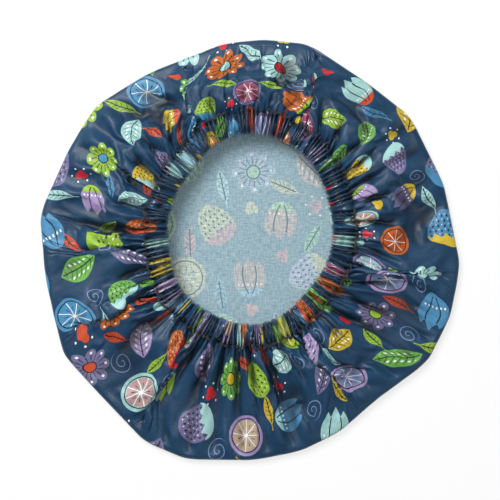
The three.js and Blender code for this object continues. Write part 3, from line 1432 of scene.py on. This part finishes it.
@dataclass
class Skirt:
    """The ring of cloth from the rim fold to the stitch line, drawn in by gathers and settled by simulation.

    Attributes:
        shape: The cap's outlines.
        gathering: The folds and pleats.
        cloth: Thickness of the cloth.
        sewn_flat: Radius of the stitch line on the flat cloth.
        fold_rows: Rows of points round the rim fold.
        rows: Rows of points from the rim fold to the stitch line.
        pleat_steps: Points across one pleat while the cloth settles.
        fine_rows: Rows of points in the finished skirt.
        fine_steps: Points across one pleat in the finished skirt.
        fold_height: Height of the main folds before they settle.
        pleat_height: Height of the pleats at the stitch line.
        deep: Depth at which the shade painted into a hollow between folds is darkest.
        crest: Height above which the tips of the lapped folds are pressed down.
        pressed: Share of the height above the crest that is pressed away.
        shallow: Depth from which shade is painted into a hollow.
        puff: Share of the slack cloth's arch that is up before it settles.
        arch_skew: Power that moves the top of the arch towards the rim.
        lean: How far the main folds lean to one side or the other.
        swell_end: How far the main folds' swell has come through its half wave at the stitch line.
        swell_power: Power that fills out the swell.
        swell_loss: Share of the main folds that the pleats take over at the stitch line.
        beyond: Height of a main fold beyond its reach, as a share.
        reach_fade: Share of the way over which a main fold fades at its reach.
        reach_lead: How far that fading is shifted.
        least_slack: Least slack that is counted at a point of a row.
        most: Greatest scale of the folds of a row.
        most_fine: Greatest scale of the pleats of a row.
        frames: Steps of the simulation.
        enlarge: Size at which the simulation runs, for its fixed collision distances.
        gravity: Share of the Earth's gravity in the simulation.
        table: Width of the table under the enlarged cloth.
    """

    shape: CapShape
    gathering: Gathering
    cloth: float = CLOTH_THICKNESS
    sewn_flat: float = SEWN_FLAT
    fold_rows: int = 5
    rows: int = 22
    pleat_steps: int = 5
    fine_rows: int = 50
    fine_steps: float = 6.0
    fold_height: float = 0.009
    pleat_height: float = 0.0042
    deep: float = 0.0034
    crest: float = 0.021
    pressed: float = 0.7
    shallow: float = 0.0004
    puff: float = 0.52
    arch_skew: float = 0.9
    lean: float = 0.35
    swell_end: float = 0.93
    swell_power: float = 0.8
    swell_loss: float = 0.65
    beyond: float = 0.5
    reach_fade: float = 0.4
    reach_lead: float = 0.3
    least_slack: float = 0.02
    most: float = 1.7
    most_fine: float = 1.3
    frames: int = 36
    enlarge: float = 10.0
    gravity: float = 0.7
    table: float = 4.0

    # The square of a shallow arch's height is this share of its span times its slack.
    SHALLOW_ARCH = 3 / 8
    HALVINGS = 22
    SMOOTHINGS = 3
    SMOOTHING_STEP = 7
    CLOTH_SETTINGS = {
        "quality": 6,
        "mass": 0.12,
        "tension_stiffness": 30,
        "compression_stiffness": 30,
        "shear_stiffness": 8,
        "bending_stiffness": 0.08,
        "use_pressure": True,
        "uniform_pressure_force": 0.08,
        "tension_damping": 8,
        "compression_damping": 8,
        "air_damping": 2,
    }
    COLLISION_SETTINGS = {
        "use_self_collision": True,
        "self_distance_min": 0.006,
        "distance_min": 0.006,
        "collision_quality": 2,
    }

    def _rim_fold(self, direction: Array, reach: Array) -> tuple[list[Array], list[Array]]:
        """Lays the rows round the rim fold.

        Args:
            direction: Direction of each column from the crown's middle.
            reach: Radius of the crown's edge at each column.

        Returns:
            The rows, and the same rows on the flat cloth.
        """
        fold = self.shape.fold
        points, flat = [], []
        for turn in np.linspace(0, math.pi, self.fold_rows):
            out = reach + fold * math.sin(turn)
            height = np.full_like(out, fold * (1 - math.cos(turn)))
            points.append(np.column_stack([direction * out[:, None], height]))
            flat.append(direction * (reach + fold * turn)[:, None])
        return points, flat

    def gathered(self) -> ClothGrid:
        """Shapes the skirt before it settles: every row as long as its cloth, drawn up in folds and pleats.

        Returns:
            The rows from the crown's edge, round the rim fold, to the stitch line.
        """
        angles = self.gathering.columns(self.gathering.pleats * self.pleat_steps)
        cloth = self.gathering.cloth_angle(angles)
        reach = self.shape.crown_reach(cloth)
        direction = directions(cloth)
        points, flat = self._rim_fold(direction, reach)
        top = points[-1]
        top_flat = reach + self.shape.fold * math.pi
        sewn = self.shape.mouth_ring(angles, 0.0, self.shape.band_middle)
        tangent = np.roll(sewn, -1, axis=0) - np.roll(sewn, 1, axis=0)
        tangent /= np.linalg.norm(tangent, axis=1, keepdims=True)
        run = np.linalg.norm(sewn - top, axis=1)
        slack = np.clip(self.sewn_flat - top_flat - run, 0.0, None)
        arch = self.puff * np.sqrt(self.SHALLOW_ARCH * run * slack)
        lean = self.lean * soft_noise(angles, lowest=2, highest=9, seed=21)
        folds = self.gathering.fold_height(angles)
        longest = self.gathering.fold_reach(angles)
        pleats = self.gathering.pleat(angles)
        for share in np.linspace(0, 1, self.rows)[1:]:
            base = top + (sewn - top) * share
            along, lift = self.gathering.laps(angles, share)
            base += tangent * along[:, None]
            base[:, 2] += arch * math.sin(math.pi * share**self.arch_skew) + lift
            length = self.sewn_flat * share + top_flat * (1 - share)
            row_flat = direction * length[:, None]
            near = ease((share - (1 - longest)) / self.reach_fade + self.reach_lead)
            grown = self.swell(share) * (self.beyond + (1 - self.beyond) * near)
            broad = folds * self.fold_height * grown
            fine = pleats * self.pleat_height * self.gathering.pleated(share)
            points.append(self._drawn_up(base, tangent, broad, fine, lean * (1 - share**3), row_flat))
            flat.append(row_flat)
        return ClothGrid(np.array(points), np.array(flat))

    def swell(self, share: float) -> float:
        """Gives the size of the main folds in a row, as a share of their full height.

        Args:
            share: Place of the row, from 0 at the rim to 1 at the stitch line.

        Returns:
            The size.
        """
        wave = math.sin(math.pi * min(1.0, share * self.swell_end))
        return wave**self.swell_power * (1 - self.swell_loss * share**3)

    def _drawn_up(
        self, base: Array, tangent: Array, broad: Array, fine: Array, lean: Array, flat: Array
    ) -> Array:
        """Raises one row in folds until it is as long as its cloth.

        Args:
            base: The row with no folds.
            tangent: Direction of the row at each point.
            broad: Height of the main folds.
            fine: Height of the pleats.
            lean: How far the main folds lean along the row for each step up.
            flat: The row on the flat cloth.

        Returns:
            The folded row.
        """
        def steps(row: Array) -> Array:
            """Measures the row's steps."""
            return np.linalg.norm(np.roll(row, -1, axis=0) - row, axis=1)

        slack = np.sqrt(np.clip((steps(flat) / steps(base)) ** 2 - 1, self.least_slack, None))
        for _ in range(self.SMOOTHINGS):
            slack = (np.roll(slack, -self.SMOOTHING_STEP) + slack + np.roll(slack, self.SMOOTHING_STEP)) / 3
        slack /= slack.mean()

        def folded(scale: float) -> Array:
            """Folds the row by some scale.

            Args:
                scale: Scale of the folds.

            Returns:
                The folded row.
            """
            row = base.copy()
            row[:, 2] += scale * slack * broad + np.minimum(scale, self.most_fine) * slack * fine
            row += tangent * (scale * slack * lean * broad)[:, None]
            return row

        wanted = steps(flat).sum()
        low, high = 0.0, self.most
        for _ in range(self.HALVINGS):
            middle = (low + high) / 2
            if steps(folded(middle)).sum() < wanted:
                low = middle
            else:
                high = middle
        return folded(high)

    def _work_cloth(self, grid: ClothGrid) -> bpy.types.Object:
        """Makes the enlarged cloth that settles, held at the rim fold and the stitch line.

        Args:
            grid: The gathered skirt.

        Returns:
            The cloth, ready for its first frame.
        """
        work = ClothGrid(grid.points * self.enlarge, grid.flat).mesh("skirt_work")
        work.shape_key_add(name="gathered")
        relaxed = work.shape_key_add(name="flat")
        flat = np.concatenate([grid.flat, np.zeros((*grid.flat.shape[:2], 1))], axis=-1) * self.enlarge
        relaxed.data.foreach_set("co", flat.astype(np.float32).ravel())
        columns = grid.points.shape[1]
        count = len(work.data.vertices)
        held = work.vertex_groups.new(name="held")
        held.add(list(range(self.fold_rows * columns)), 1.0, "REPLACE")
        held.add(list(range(count - columns, count)), 1.0, "REPLACE")
        modifier = work.modifiers.new("cloth", "CLOTH")
        settings = modifier.settings
        settings.rest_shape_key = relaxed
        settings.vertex_group_mass = held.name
        for name, value in self.CLOTH_SETTINGS.items():
            setattr(settings, name, value)
        settings.effector_weights.gravity = self.gravity
        for name, value in self.COLLISION_SETTINGS.items():
            setattr(modifier.collision_settings, name, value)
        modifier.point_cache.frame_start = 1
        modifier.point_cache.frame_end = self.frames
        return work

    def settle(self, grid: ClothGrid) -> None:
        """Lets the cloth fall into its folds on a table, and writes its places back.

        Args:
            grid: The gathered skirt, which takes the settled places.
        """
        scene = bpy.context.scene
        work = self._work_cloth(grid)
        bpy.ops.object.select_all(action="DESELECT")
        level = 2 * self.cloth * self.enlarge
        bpy.ops.mesh.primitive_plane_add(size=self.table, location=(0, 0, level))
        table = bpy.context.object
        table.modifiers.new("stop", "COLLISION")
        for frame in range(1, self.frames + 1):
            scene.frame_set(frame)
        settled = work.evaluated_get(bpy.context.evaluated_depsgraph_get())
        places = np.empty(grid.points.size, dtype=np.float32)
        settled.data.vertices.foreach_get("co", places)
        grid.points[:] = places.reshape(grid.points.shape) / self.enlarge
        for helper in (work, table):
            bpy.data.objects.remove(helper)
        scene.frame_set(1)

    def build(self) -> bpy.types.Object:
        """Gathers and settles the skirt.

        Returns:
            The sheet.
        """
        grid = self.gathered()
        self.settle(grid)
        tips = np.clip(grid.points[..., 2] - self.crest, 0.0, None)
        grid.points[..., 2] -= self.pressed * tips
        columns = int(self.gathering.pleats * self.fine_steps)
        fine = grid.refined(self.fine_rows, columns)
        # The depths between folds set the shade painted into the skirt's colour.
        fine.hollow = self.hollows(fine.points[..., 2])
        return fine.mesh("skirt_cloth")

    def hollows(self, height: Array, reach: int = 22) -> Array:
        """Finds how deep each point of the skirt lies under the cloth on either side of it, for the shade
        painted there.

        Args:
            height: Heights of the points, in rows round the cap.
            reach: How many points to look to either side.

        Returns:
            Depths from 0 to 1.
        """
        around = [np.roll(height, step, axis=1) for step in range(-reach, reach + 1)]
        depth = np.mean(around, axis=0) - height
        return ease((depth - self.shallow) / self.deep)

    def dress(self, piece: bpy.types.Object, wardrobe: Wardrobe) -> None:
        """Thickens the cloth and fits it between the crown and the band.

        Args:
            piece: What build returned.
            wardrobe: The cap's materials.
        """
        line_cloth(piece, self.cloth, wardrobe.printed, wardrobe.reverse)
        edge = float(self.shape.crown_radius.max()) + self.shape.fold
        inner = float(self.shape.sewn_half[0])
        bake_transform(piece, Body.CROWN.value, Body.BAND.value, start=(edge, 0, 0), end=(inner, 0, 0))
        self._follow_cloth(piece)
        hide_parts("skirt_panel")

    def _follow_cloth(self, piece: bpy.types.Object) -> None:
        """Lets each point follow the band by its place between the rim and the stitch line.

        Args:
            piece: The skirt.
        """
        places = np.array([vertex.co for vertex in piece.data.vertices])
        mouth = places[:, :2] - self.shape.middle
        half = self.shape.sewn_half
        angles = np.arctan2(mouth[:, 1] / half[1], mouth[:, 0] / half[0])
        sewn = self.shape.mouth_ring(angles, 0.0, 0.0)[:, :2]
        from_sewn = np.linalg.norm(places[:, :2] - sewn, axis=1)
        inside = np.linalg.norm(mouth, axis=1) < np.linalg.norm(sewn - self.shape.middle, axis=1)
        polar = np.arctan2(places[:, 1], places[:, 0])
        from_rim = self.shape.crown_reach(polar) - np.hypot(places[:, 0], places[:, 1])
        share = np.where(inside, 1.0, from_rim / np.maximum(from_rim + from_sewn, 1e-6))
        weights = piece.data.attributes["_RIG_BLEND"]
        weights.data.foreach_set("value", ease(share).astype(np.float32))


@dataclass(frozen=True)
class HemRow:
    """One row of the casing's section.

    Attributes:
        inset: Distance inside the stitch line.
        rise: Height over the stitch line.
        inward: How much of the pleats' height goes towards the mouth.
        upward: How much of the pleats' height goes up.
        swell: Height of the pleats here, as a share of the full height.
        length: Length of cloth from the stitch line.
    """

    inset: float
    rise: float
    inward: float
    upward: float
    swell: float
    length: float


@dataclass
class Casing:
    """The hem that holds the elastic: a turned band of cloth, finely ruched.

    Attributes:
        shape: The cap's outlines.
        gathering: The pleats.
        cloth: Thickness of the cloth.
        width: Width of the casing.
        half_height: Half the casing's height without its pleats.
        pleat_height: Height of the pleats above and below that.
        steps: Points across one pleat.
        sewn_flat: Radius of the stitch line on the flat cloth.
        straight: Share of the width from the stitch line to the rounded edge at the mouth.
        nose: Share of the width that is rounded.
        climb: How fast the section goes through its rise from the stitch line.
        foot: How far through its rise it is at the stitch line itself.
        stray: How far the pleats stray on the way to the mouth, in pleats.
        shaded_below: Height of the pleats below which shade is painted into their valleys.
        sewn_swell: Height of the pleats at the stitch line, as a share.
        swell_growth: How fast they grow from there.
        mouth_start: Share of the width at which they start to shrink towards the mouth.
        mouth_run: Share of the width over which they shrink.
        mouth_loss: Share of their height that they lose there.
    """

    shape: CapShape
    gathering: Gathering
    cloth: float = CLOTH_THICKNESS
    width: float = 0.015
    half_height: float = 0.005
    pleat_height: float = 0.0036
    steps: int = 10
    sewn_flat: float = SEWN_FLAT
    straight: float = 0.84
    nose: float = 0.16
    climb: float = 3.2
    foot: float = 0.1
    stray: float = 0.45
    shaded_below: float = -0.1
    sewn_swell: float = 0.7
    swell_growth: float = 2.0
    mouth_start: float = 0.7
    mouth_run: float = 0.3
    mouth_loss: float = 0.84

    TOP_ROWS = 13
    NOSE_ROWS = 9

    def section(self) -> list[HemRow]:
        """Draws the hem's section.

        Returns:
            Its rows, from the stitch line over the top, round the mouth and back underneath.
        """
        top = []
        for share in np.linspace(0, self.straight, self.TOP_ROWS):
            risen = math.sin(min(1.0, share * self.climb + self.foot) * math.pi / 2)
            top.append((self.width * share, self.half_height * risen))
        nose = []
        for turn in np.linspace(0, math.pi, self.NOSE_ROWS)[1:-1]:
            reach = self.straight + self.nose * math.sin(turn)
            nose.append((self.width * reach, self.half_height * math.cos(turn)))
        line = np.array(top + nose + [(inset, -rise) for inset, rise in reversed(top[::2])])
        along = np.gradient(line, axis=0)
        along /= np.linalg.norm(along, axis=1, keepdims=True)
        lengths = np.concatenate([[0], np.cumsum(np.linalg.norm(np.diff(line, axis=0), axis=1))])
        lengths *= 2 * self.width / lengths[-1]
        rows = []
        for (inset, rise), (run, climb), length in zip(line, along, lengths):
            share = inset / self.width
            at_mouth = max(0.0, (share - self.mouth_start) / self.mouth_run)
            swell = min(1.0, self.sewn_swell + share * self.swell_growth) * (1 - self.mouth_loss * at_mouth)
            rows.append(HemRow(inset, rise, -climb, run, swell, length))
        return rows

    def pleats(self, row: HemRow, angles: Array) -> Array:
        """Gives the height of a row's pleats, which stray from those at the stitch line."""
        noise = soft_noise(angles, lowest=6, highest=30, seed=41)
        return self.gathering.pleat(angles, self.stray * row.inset / self.width * noise)

    def row_points(self, row: HemRow, angles: Array) -> Array:
        """Places one row of the casing's outside.

        Args:
            row: The row of the section.
            angles: Angles round the mouth.

        Returns:
            One point for each angle.
        """
        height = self.pleat_height * row.swell * self.pleats(row, angles)
        level = self.shape.band_middle + row.rise + height * row.upward
        return self.shape.mouth_ring(angles, row.inset + height * row.inward, level)

    def build(self) -> bpy.types.Object:
        """Shapes the ruched hem.

        Returns:
            The sheet.
        """
        angles = even_angles(self.gathering.pleats * self.steps)
        cloth = self.gathering.cloth_angle(angles)
        direction = directions(cloth)
        rows = self.section()
        points = np.array([self.row_points(row, angles) for row in rows])
        flat = np.array([direction * (self.sewn_flat + row.length) for row in rows])
        # Painted shade in the pleats' valleys, deeper where the pleats are lower.
        hollow = np.array([ease(self.shaded_below - self.pleats(row, angles)) for row in rows])
        return ClothGrid(points, flat, hollow).mesh("casing_cloth")

    def dress(self, piece: bpy.types.Object, wardrobe: Wardrobe) -> None:
        """Thickens the cloth and fits it to the band.

        Args:
            piece: What build returned.
            wardrobe: The cap's materials.
        """
        line_cloth(piece, self.cloth, wardrobe.ruched, wardrobe.reverse)
        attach(piece, Body.BAND.value)
        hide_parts("elastic_casing")


@dataclass
class Elastic:
    """The braided elastic inside the casing: a strip whose ends are lapped.

    Attributes:
        shape: The cap's outlines.
        width: Width of the strip.
        thickness: Thickness of the strip.
        lap: Length of the lap.
        stations: Points along the strip.
        ribs: Ribs across the strip.
        groove: Depth of the grooves between ribs, as a share of the thickness.
        gap: Gap between the lapped ends.
        climb_start: Share of the strip, from its middle, at which an end starts to climb or dive.
        climb_run: Share of the strip over which it does so.
    """

    shape: CapShape
    width: float = 0.009
    thickness: float = 0.0008
    lap: float = 0.016
    stations: int = 200
    ribs: int = 8
    groove: float = 0.2
    gap: float = 0.0002
    climb_start: float = 0.38
    climb_run: float = 0.08

    def middle_line(self) -> tuple[Array, float]:
        """Finds the strip's middle line.

        Returns:
            Its half width and half length, and how far it lies inside the stitch line.
        """
        half = self.shape.elastic_half - self.width / 2
        return half, float((self.shape.sewn_half - half).mean())

    def build(self) -> bpy.types.Object:
        """Winds the strip round the mouth, one end over the other.

        Returns:
            The strip, with open ends.
        """
        half, inset = self.middle_line()
        lap_turn = self.lap / float(half.mean())
        angles = self.shape.lap_angle - lap_turn / 2 + np.linspace(0, FULL_TURN + lap_turn, self.stations)
        passed = np.linspace(0, 1, self.stations) - 0.5
        climbed = ease((np.abs(passed) - self.climb_start) / self.climb_run)
        climb = 0.5 * (self.thickness + self.gap) * np.sign(passed) * climbed
        across = np.linspace(-0.5, 0.5, 2 * self.ribs + 1)
        wave = np.cos(FULL_TURN * self.ribs * across)
        ridge = 0.5 * self.thickness * (1 - self.groove + self.groove * wave)
        edge = np.concatenate([across, across[::-1]]) * self.width
        rise = np.concatenate([ridge, -ridge])
        rows, flat = [], []
        for angle, level in zip(angles, climb):
            height = self.shape.band_middle + level + rise
            rows.append(self.shape.mouth_ring(np.full(edge.size, angle), inset - edge, height))
            flat.append(np.column_stack([edge, np.full(edge.size, angle * half.mean())]))
        return ClothGrid(np.array(rows), np.array(flat)).mesh("elastic_strip")

    def dress(self, piece: bpy.types.Object, wardrobe: Wardrobe) -> None:
        """Closes the strip's ends and fits it to the band.

        Args:
            piece: What build returned.
            wardrobe: The cap's materials.
        """
        select_only(piece)
        bpy.ops.object.mode_set(mode="EDIT")
        bpy.ops.mesh.select_all(action="SELECT")
        bpy.ops.mesh.fill_holes(sides=0)
        bpy.ops.mesh.select_all(action="SELECT")
        bpy.ops.mesh.normals_make_consistent(inside=False)
        bpy.ops.object.mode_set(mode="OBJECT")
        piece.data.materials.append(wardrobe.elastic)
        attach(piece, Body.BAND.value)
        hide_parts("elastic_band")


@dataclass
class StitchRow:
    """A row of stitches, each one modelled as the same bent staple of thread.

    Attributes:
        name: Name of the piece.
        node: The CAD node that it stands for.
        radius: Radius of the thread.
    """

    name: str
    node: str
    radius: float = 0.0008

    def staple(self, half_length: float) -> bpy.types.Object:
        """Models one stitch: half a ring of thread, standing up with its ends down.

        Args:
            half_length: Half the length of the stitch.

        Returns:
            The stitch, at the origin and along X.
        """
        bpy.ops.object.select_all(action="DESELECT")
        bpy.ops.mesh.primitive_torus_add(
            major_radius=half_length, minor_radius=self.radius, major_segments=12, minor_segments=6
        )
        made = bpy.context.object
        bpy.ops.object.mode_set(mode="EDIT")
        bpy.ops.mesh.select_all(action="SELECT")
        bpy.ops.transform.rotate(value=math.pi / 2, orient_axis="X", center_override=(0, 0, 0))
        bpy.ops.mesh.bisect(plane_co=(0, 0, 0), plane_no=(0, 0, 1), use_fill=True, clear_inner=True)
        bpy.ops.object.mode_set(mode="OBJECT")
        bpy.ops.object.shade_smooth()
        return made

    def build(self, half_length: float, places: Sequence[Matrix]) -> bpy.types.Object:
        """Copies the stitch to each place and joins the copies into one piece.

        Args:
            half_length: Half the length of a stitch.
            places: Where each stitch goes.

        Returns:
            The row.
        """
        first = self.staple(half_length)
        copies = []
        for place in places:
            copy = first.copy()
            copy.data = first.data.copy()
            copy.data.transform(place)
            bpy.context.scene.collection.objects.link(copy)
            copies.append(copy)
        bpy.data.objects.remove(first)
        select_only(*copies)
        bpy.ops.object.join()
        row = bpy.context.object
        row.name = self.name
        return row

    def dress(self, piece: bpy.types.Object, wardrobe: Wardrobe) -> None:
        """Fits the stitches to the band.

        Args:
            piece: What build returned.
            wardrobe: The cap's materials.
        """
        piece.data.materials.append(wardrobe.thread)
        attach(piece, Body.BAND.value)
        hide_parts(self.node)


def stitch_place(spot: Array, ahead: Array, scale: Sequence[float]) -> Matrix:
    """Places a stitch on a spot, lying in a direction.

    Args:
        spot: The middle of the stitch's feet.
        ahead: Direction of the stitch.
        scale: The stitch's scale along, across and up.

    Returns:
        The place as a matrix.
    """
    along = Vector(ahead).normalized()
    side = Vector((0, 0, 1)).cross(along).normalized()
    up = along.cross(side)
    turn = Matrix((along, side, up)).transposed().to_4x4()
    return Matrix.Translation(Vector(spot)) @ turn @ Matrix.Diagonal((*scale, 1))


@dataclass
class Seam:
    """The seam that closes the casing: a stitch over most of the pleats, above and below.

    Attributes:
        casing: The casing that it closes.
        inset: Distance of the seam inside the casing's outer edge.
        half_length: Half the length of a stitch.
        hidden: Share of the stitches that are sunk out of sight in the cloth and left out.
        lean: Least and most lean of a stitch across the seam.
        sink: Least and most depth of its feet in the cloth, in half lengths.
        length: Least and most scale of its length.
        thickness: Least and most scale of its thickness.
        height: Scale of its height.
    """

    casing: Casing
    inset: float = 0.0009
    half_length: float = 0.0016
    hidden: float = 0.35
    lean: tuple[float, float] = (-1.3, 1.3)
    sink: tuple[float, float] = (0.1, 0.5)
    length: tuple[float, float] = (0.6, 1.5)
    thickness: tuple[float, float] = (0.8, 1.5)
    height: float = 0.75

    SEED = 5
    FINE_STEPS = 40
    SMALL_TURN = 0.004

    def places(self, face: Face) -> list[Matrix]:
        """Finds each stitch's place on a face of the casing.

        Args:
            face: The face.

        Returns:
            The places, one after another round the mouth.
        """
        random = np.random.default_rng(self.SEED + face.value)
        gathering = self.casing.gathering
        angles = even_angles(gathering.pleats * self.FINE_STEPS)
        height = gathering.pleat(angles)
        crests = angles[(height > np.roll(height, 1)) & (height > np.roll(height, -1))]
        rows = self.casing.section()
        row = min(rows, key=lambda r: abs(r.inset - self.inset) + (r.rise * face.value < 0))
        ring = self.casing.row_points(row, crests)
        ahead = self.casing.row_points(row, crests + self.SMALL_TURN)
        found = []
        for spot, after in zip(ring, ahead):
            if random.random() < self.hidden:
                continue
            flat_way = (after - spot) * (1, 1, 0) + (0, 0, 1e-9)
            lean = random.uniform(*self.lean)
            way = flat_way + lean * np.array([-flat_way[1], flat_way[0], 0])
            spot[2] -= face.value * self.half_length * random.uniform(*self.sink)
            length = random.uniform(*self.length)
            thickness = random.uniform(*self.thickness)
            scale = (length, thickness, self.height * face.value)
            found.append(stitch_place(spot, way * face.value, scale))
        return found


@dataclass
class LapSeam:
    """The short zigzag that holds the elastic's lapped ends.

    Attributes:
        elastic: The elastic.
        stitches: Number of stitches.
        half_length: Half the length of the stitch that is modelled.
        thread: Radius of the thread.
        sewn: Share of the lap that is sewn.
        reach: Half the zigzag's width, as a share of the elastic's.
        flatness: Scale of a stitch's height.
    """

    elastic: Elastic
    stitches: int = 8
    half_length: float = 0.0017
    thread: float = 0.0002
    sewn: float = 0.7
    reach: float = 0.3
    flatness: float = 0.3

    def places(self) -> list[Matrix]:
        """Finds each stitch's place on the lap.

        Returns:
            The places, one after another along the lap.
        """
        shape = self.elastic.shape
        half, inset = self.elastic.middle_line()
        turn = self.sewn * self.elastic.lap / float(half.mean())
        level = shape.band_middle + self.elastic.thickness
        corners = []
        for index in range(self.stitches + 1):
            angle = shape.lap_angle + turn * (index / self.stitches - 0.5)
            side = (1 if index % 2 else -1) * self.elastic.width * self.reach
            corners.append(shape.mouth_ring(np.array(angle), inset - side, level))
        found = []
        for start, end in zip(corners, corners[1:]):
            length = float(np.linalg.norm(end - start)) / 2
            scale = (length / self.half_length, 1.0, self.flatness)
            found.append(stitch_place((start + end) / 2, end - start, scale))
        return found


@dataclass(frozen=True)
class Lamp:
    """A square soft lamp that looks at the middle of the cap.

    Attributes:
        name: Name of the lamp.
        place: Where it hangs.
        size: Width of its face.
        power: Its power, in watts.
    """

    name: str
    place: tuple[float, float, float]
    size: float
    power: float


@dataclass
class Studio:
    """Floor, light and camera.

    Attributes:
        frame_width: Width that the picture shows.
        camera_height: Height of the camera.
        focus_height: Height at which the picture shows that width.
        sensor: Width of the camera's sensor, in millimetres.
        floor_size: Width of the floor.
        floor_drop: How far the floor lies under the cap.
        floor_white: Share of plain white in the floor, as the camera and mirrors see it.
        sky: Strength of the sky's light.
        lamps: The lamps: a large one over the upper left, a fill over the right and a small one above.
    """

    frame_width: float = 0.3484
    camera_height: float = 1.6
    focus_height: float = 0.006
    sensor: float = 36.0
    floor_size: float = 6.0
    floor_drop: float = 0.0003
    floor_white: float = 0.72
    sky: float = 0.14
    lamps: tuple[Lamp, ...] = (
        Lamp("key", (-0.62, 0.8, 1.3), 0.8, 27.0),
        Lamp("fill", (0.9, -0.5, 1.3), 1.6, 3.6),
        Lamp("top", (0.05, 0.05, 1.5), 0.3, 5.0),
    )

    WHITE = (1.0, 1.0, 1.0, 1.0)
    PALE_GREY = (0.9, 0.9, 0.9, 1.0)

    def floor(self) -> None:
        """Lays a plain pale floor that keeps the cap's shadow."""
        bpy.ops.object.select_all(action="DESELECT")
        bpy.ops.mesh.primitive_plane_add(size=self.floor_size, location=(0, 0, -self.floor_drop))
        floor = bpy.context.object
        floor.name = "floor"
        made, graph = shaded("pale_floor")
        matte = graph.add("ShaderNodeBsdfDiffuse", sockets={"Color": self.PALE_GREY})
        white = graph.add("ShaderNodeEmission", sockets={"Color": self.WHITE, "Strength": 1.0})
        rays = graph.node("ShaderNodeLightPath")
        seen = Value(graph, rays.outputs["Is Camera Ray"])
        for ray in ("Is Glossy Ray", "Is Transmission Ray"):
            seen = seen.highest(Value(graph, rays.outputs[ray]))
        shader = graph.add("ShaderNodeMixShader", sockets={0: seen * self.floor_white, 1: matte, 2: white})
        graph.node("ShaderNodeOutputMaterial", sockets={0: shader})
        floor.data.materials.append(made)

    def light(self) -> None:
        """Hangs the lamps under a sky that looks white."""
        for lamp in self.lamps:
            data = bpy.data.lights.new(lamp.name, "AREA")
            data.size = lamp.size
            data.energy = lamp.power
            hung = bpy.data.objects.new(lamp.name, data)
            hung.location = lamp.place
            hung.rotation_euler = (-hung.location).to_track_quat("-Z", "Y").to_euler()
            bpy.context.scene.collection.objects.link(hung)
        world = bpy.data.worlds.new("sky")
        world.use_nodes = True
        graph = Graph(world.node_tree)
        sky = graph.add("ShaderNodeBackground", sockets={"Color": self.WHITE, "Strength": self.sky})
        white = graph.add("ShaderNodeBackground", sockets={"Color": self.WHITE, "Strength": 1.0})
        seen = graph.add("ShaderNodeLightPath", output="Is Camera Ray")
        shader = graph.add("ShaderNodeMixShader", sockets={0: seen, 1: sky, 2: white})
        graph.node("ShaderNodeOutputWorld", sockets={0: shader})
        bpy.context.scene.world = world
        bpy.context.scene.view_settings.view_transform = "Standard"

    def camera(self) -> None:
        """Looks straight down on the cap."""
        data = bpy.data.cameras.new("camera")
        data.sensor_width = self.sensor
        data.lens = self.sensor * (self.camera_height - self.focus_height) / self.frame_width
        camera = bpy.data.objects.new("camera", data)
        camera.location = (0, 0, self.camera_height)
        bpy.context.scene.collection.objects.link(camera)
        bpy.context.scene.camera = camera


def main() -> None:
    """Builds and dresses every piece in order."""
    logging.basicConfig(level=logging.INFO, format="%(name)s: %(message)s")
    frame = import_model()
    shape = CapShape.from_frame(frame)
    gathering = Gathering()
    wardrobe = Wardrobe.made()
    casing = Casing(shape, gathering)
    elastic = Elastic(shape)
    for part in (Crown(shape), Skirt(shape, gathering), casing, elastic):
        piece = part.build()
        part.dress(piece, wardrobe)
        log.info("%s: %d faces", piece.name, len(piece.data.polygons))
    seam = Seam(casing)
    lap = LapSeam(elastic)
    rows = (
        (StitchRow("needle_thread", "casing_needle_thread"), seam.half_length, seam.places(Face.TOP)),
        (StitchRow("bobbin_thread", "casing_bobbin_thread"), seam.half_length, seam.places(Face.UNDER)),
        (StitchRow("lap_thread", "elastic_lap_stitch", lap.thread), lap.half_length, lap.places()),
    )
    for row, half_length, places in rows:
        piece = row.build(half_length, places)
        row.dress(piece, wardrobe)
        log.info("%s: %d stitches", piece.name, len(places))
    studio = Studio()
    studio.floor()
    studio.light()
    studio.camera()


if __name__ == "__main__":
    main()
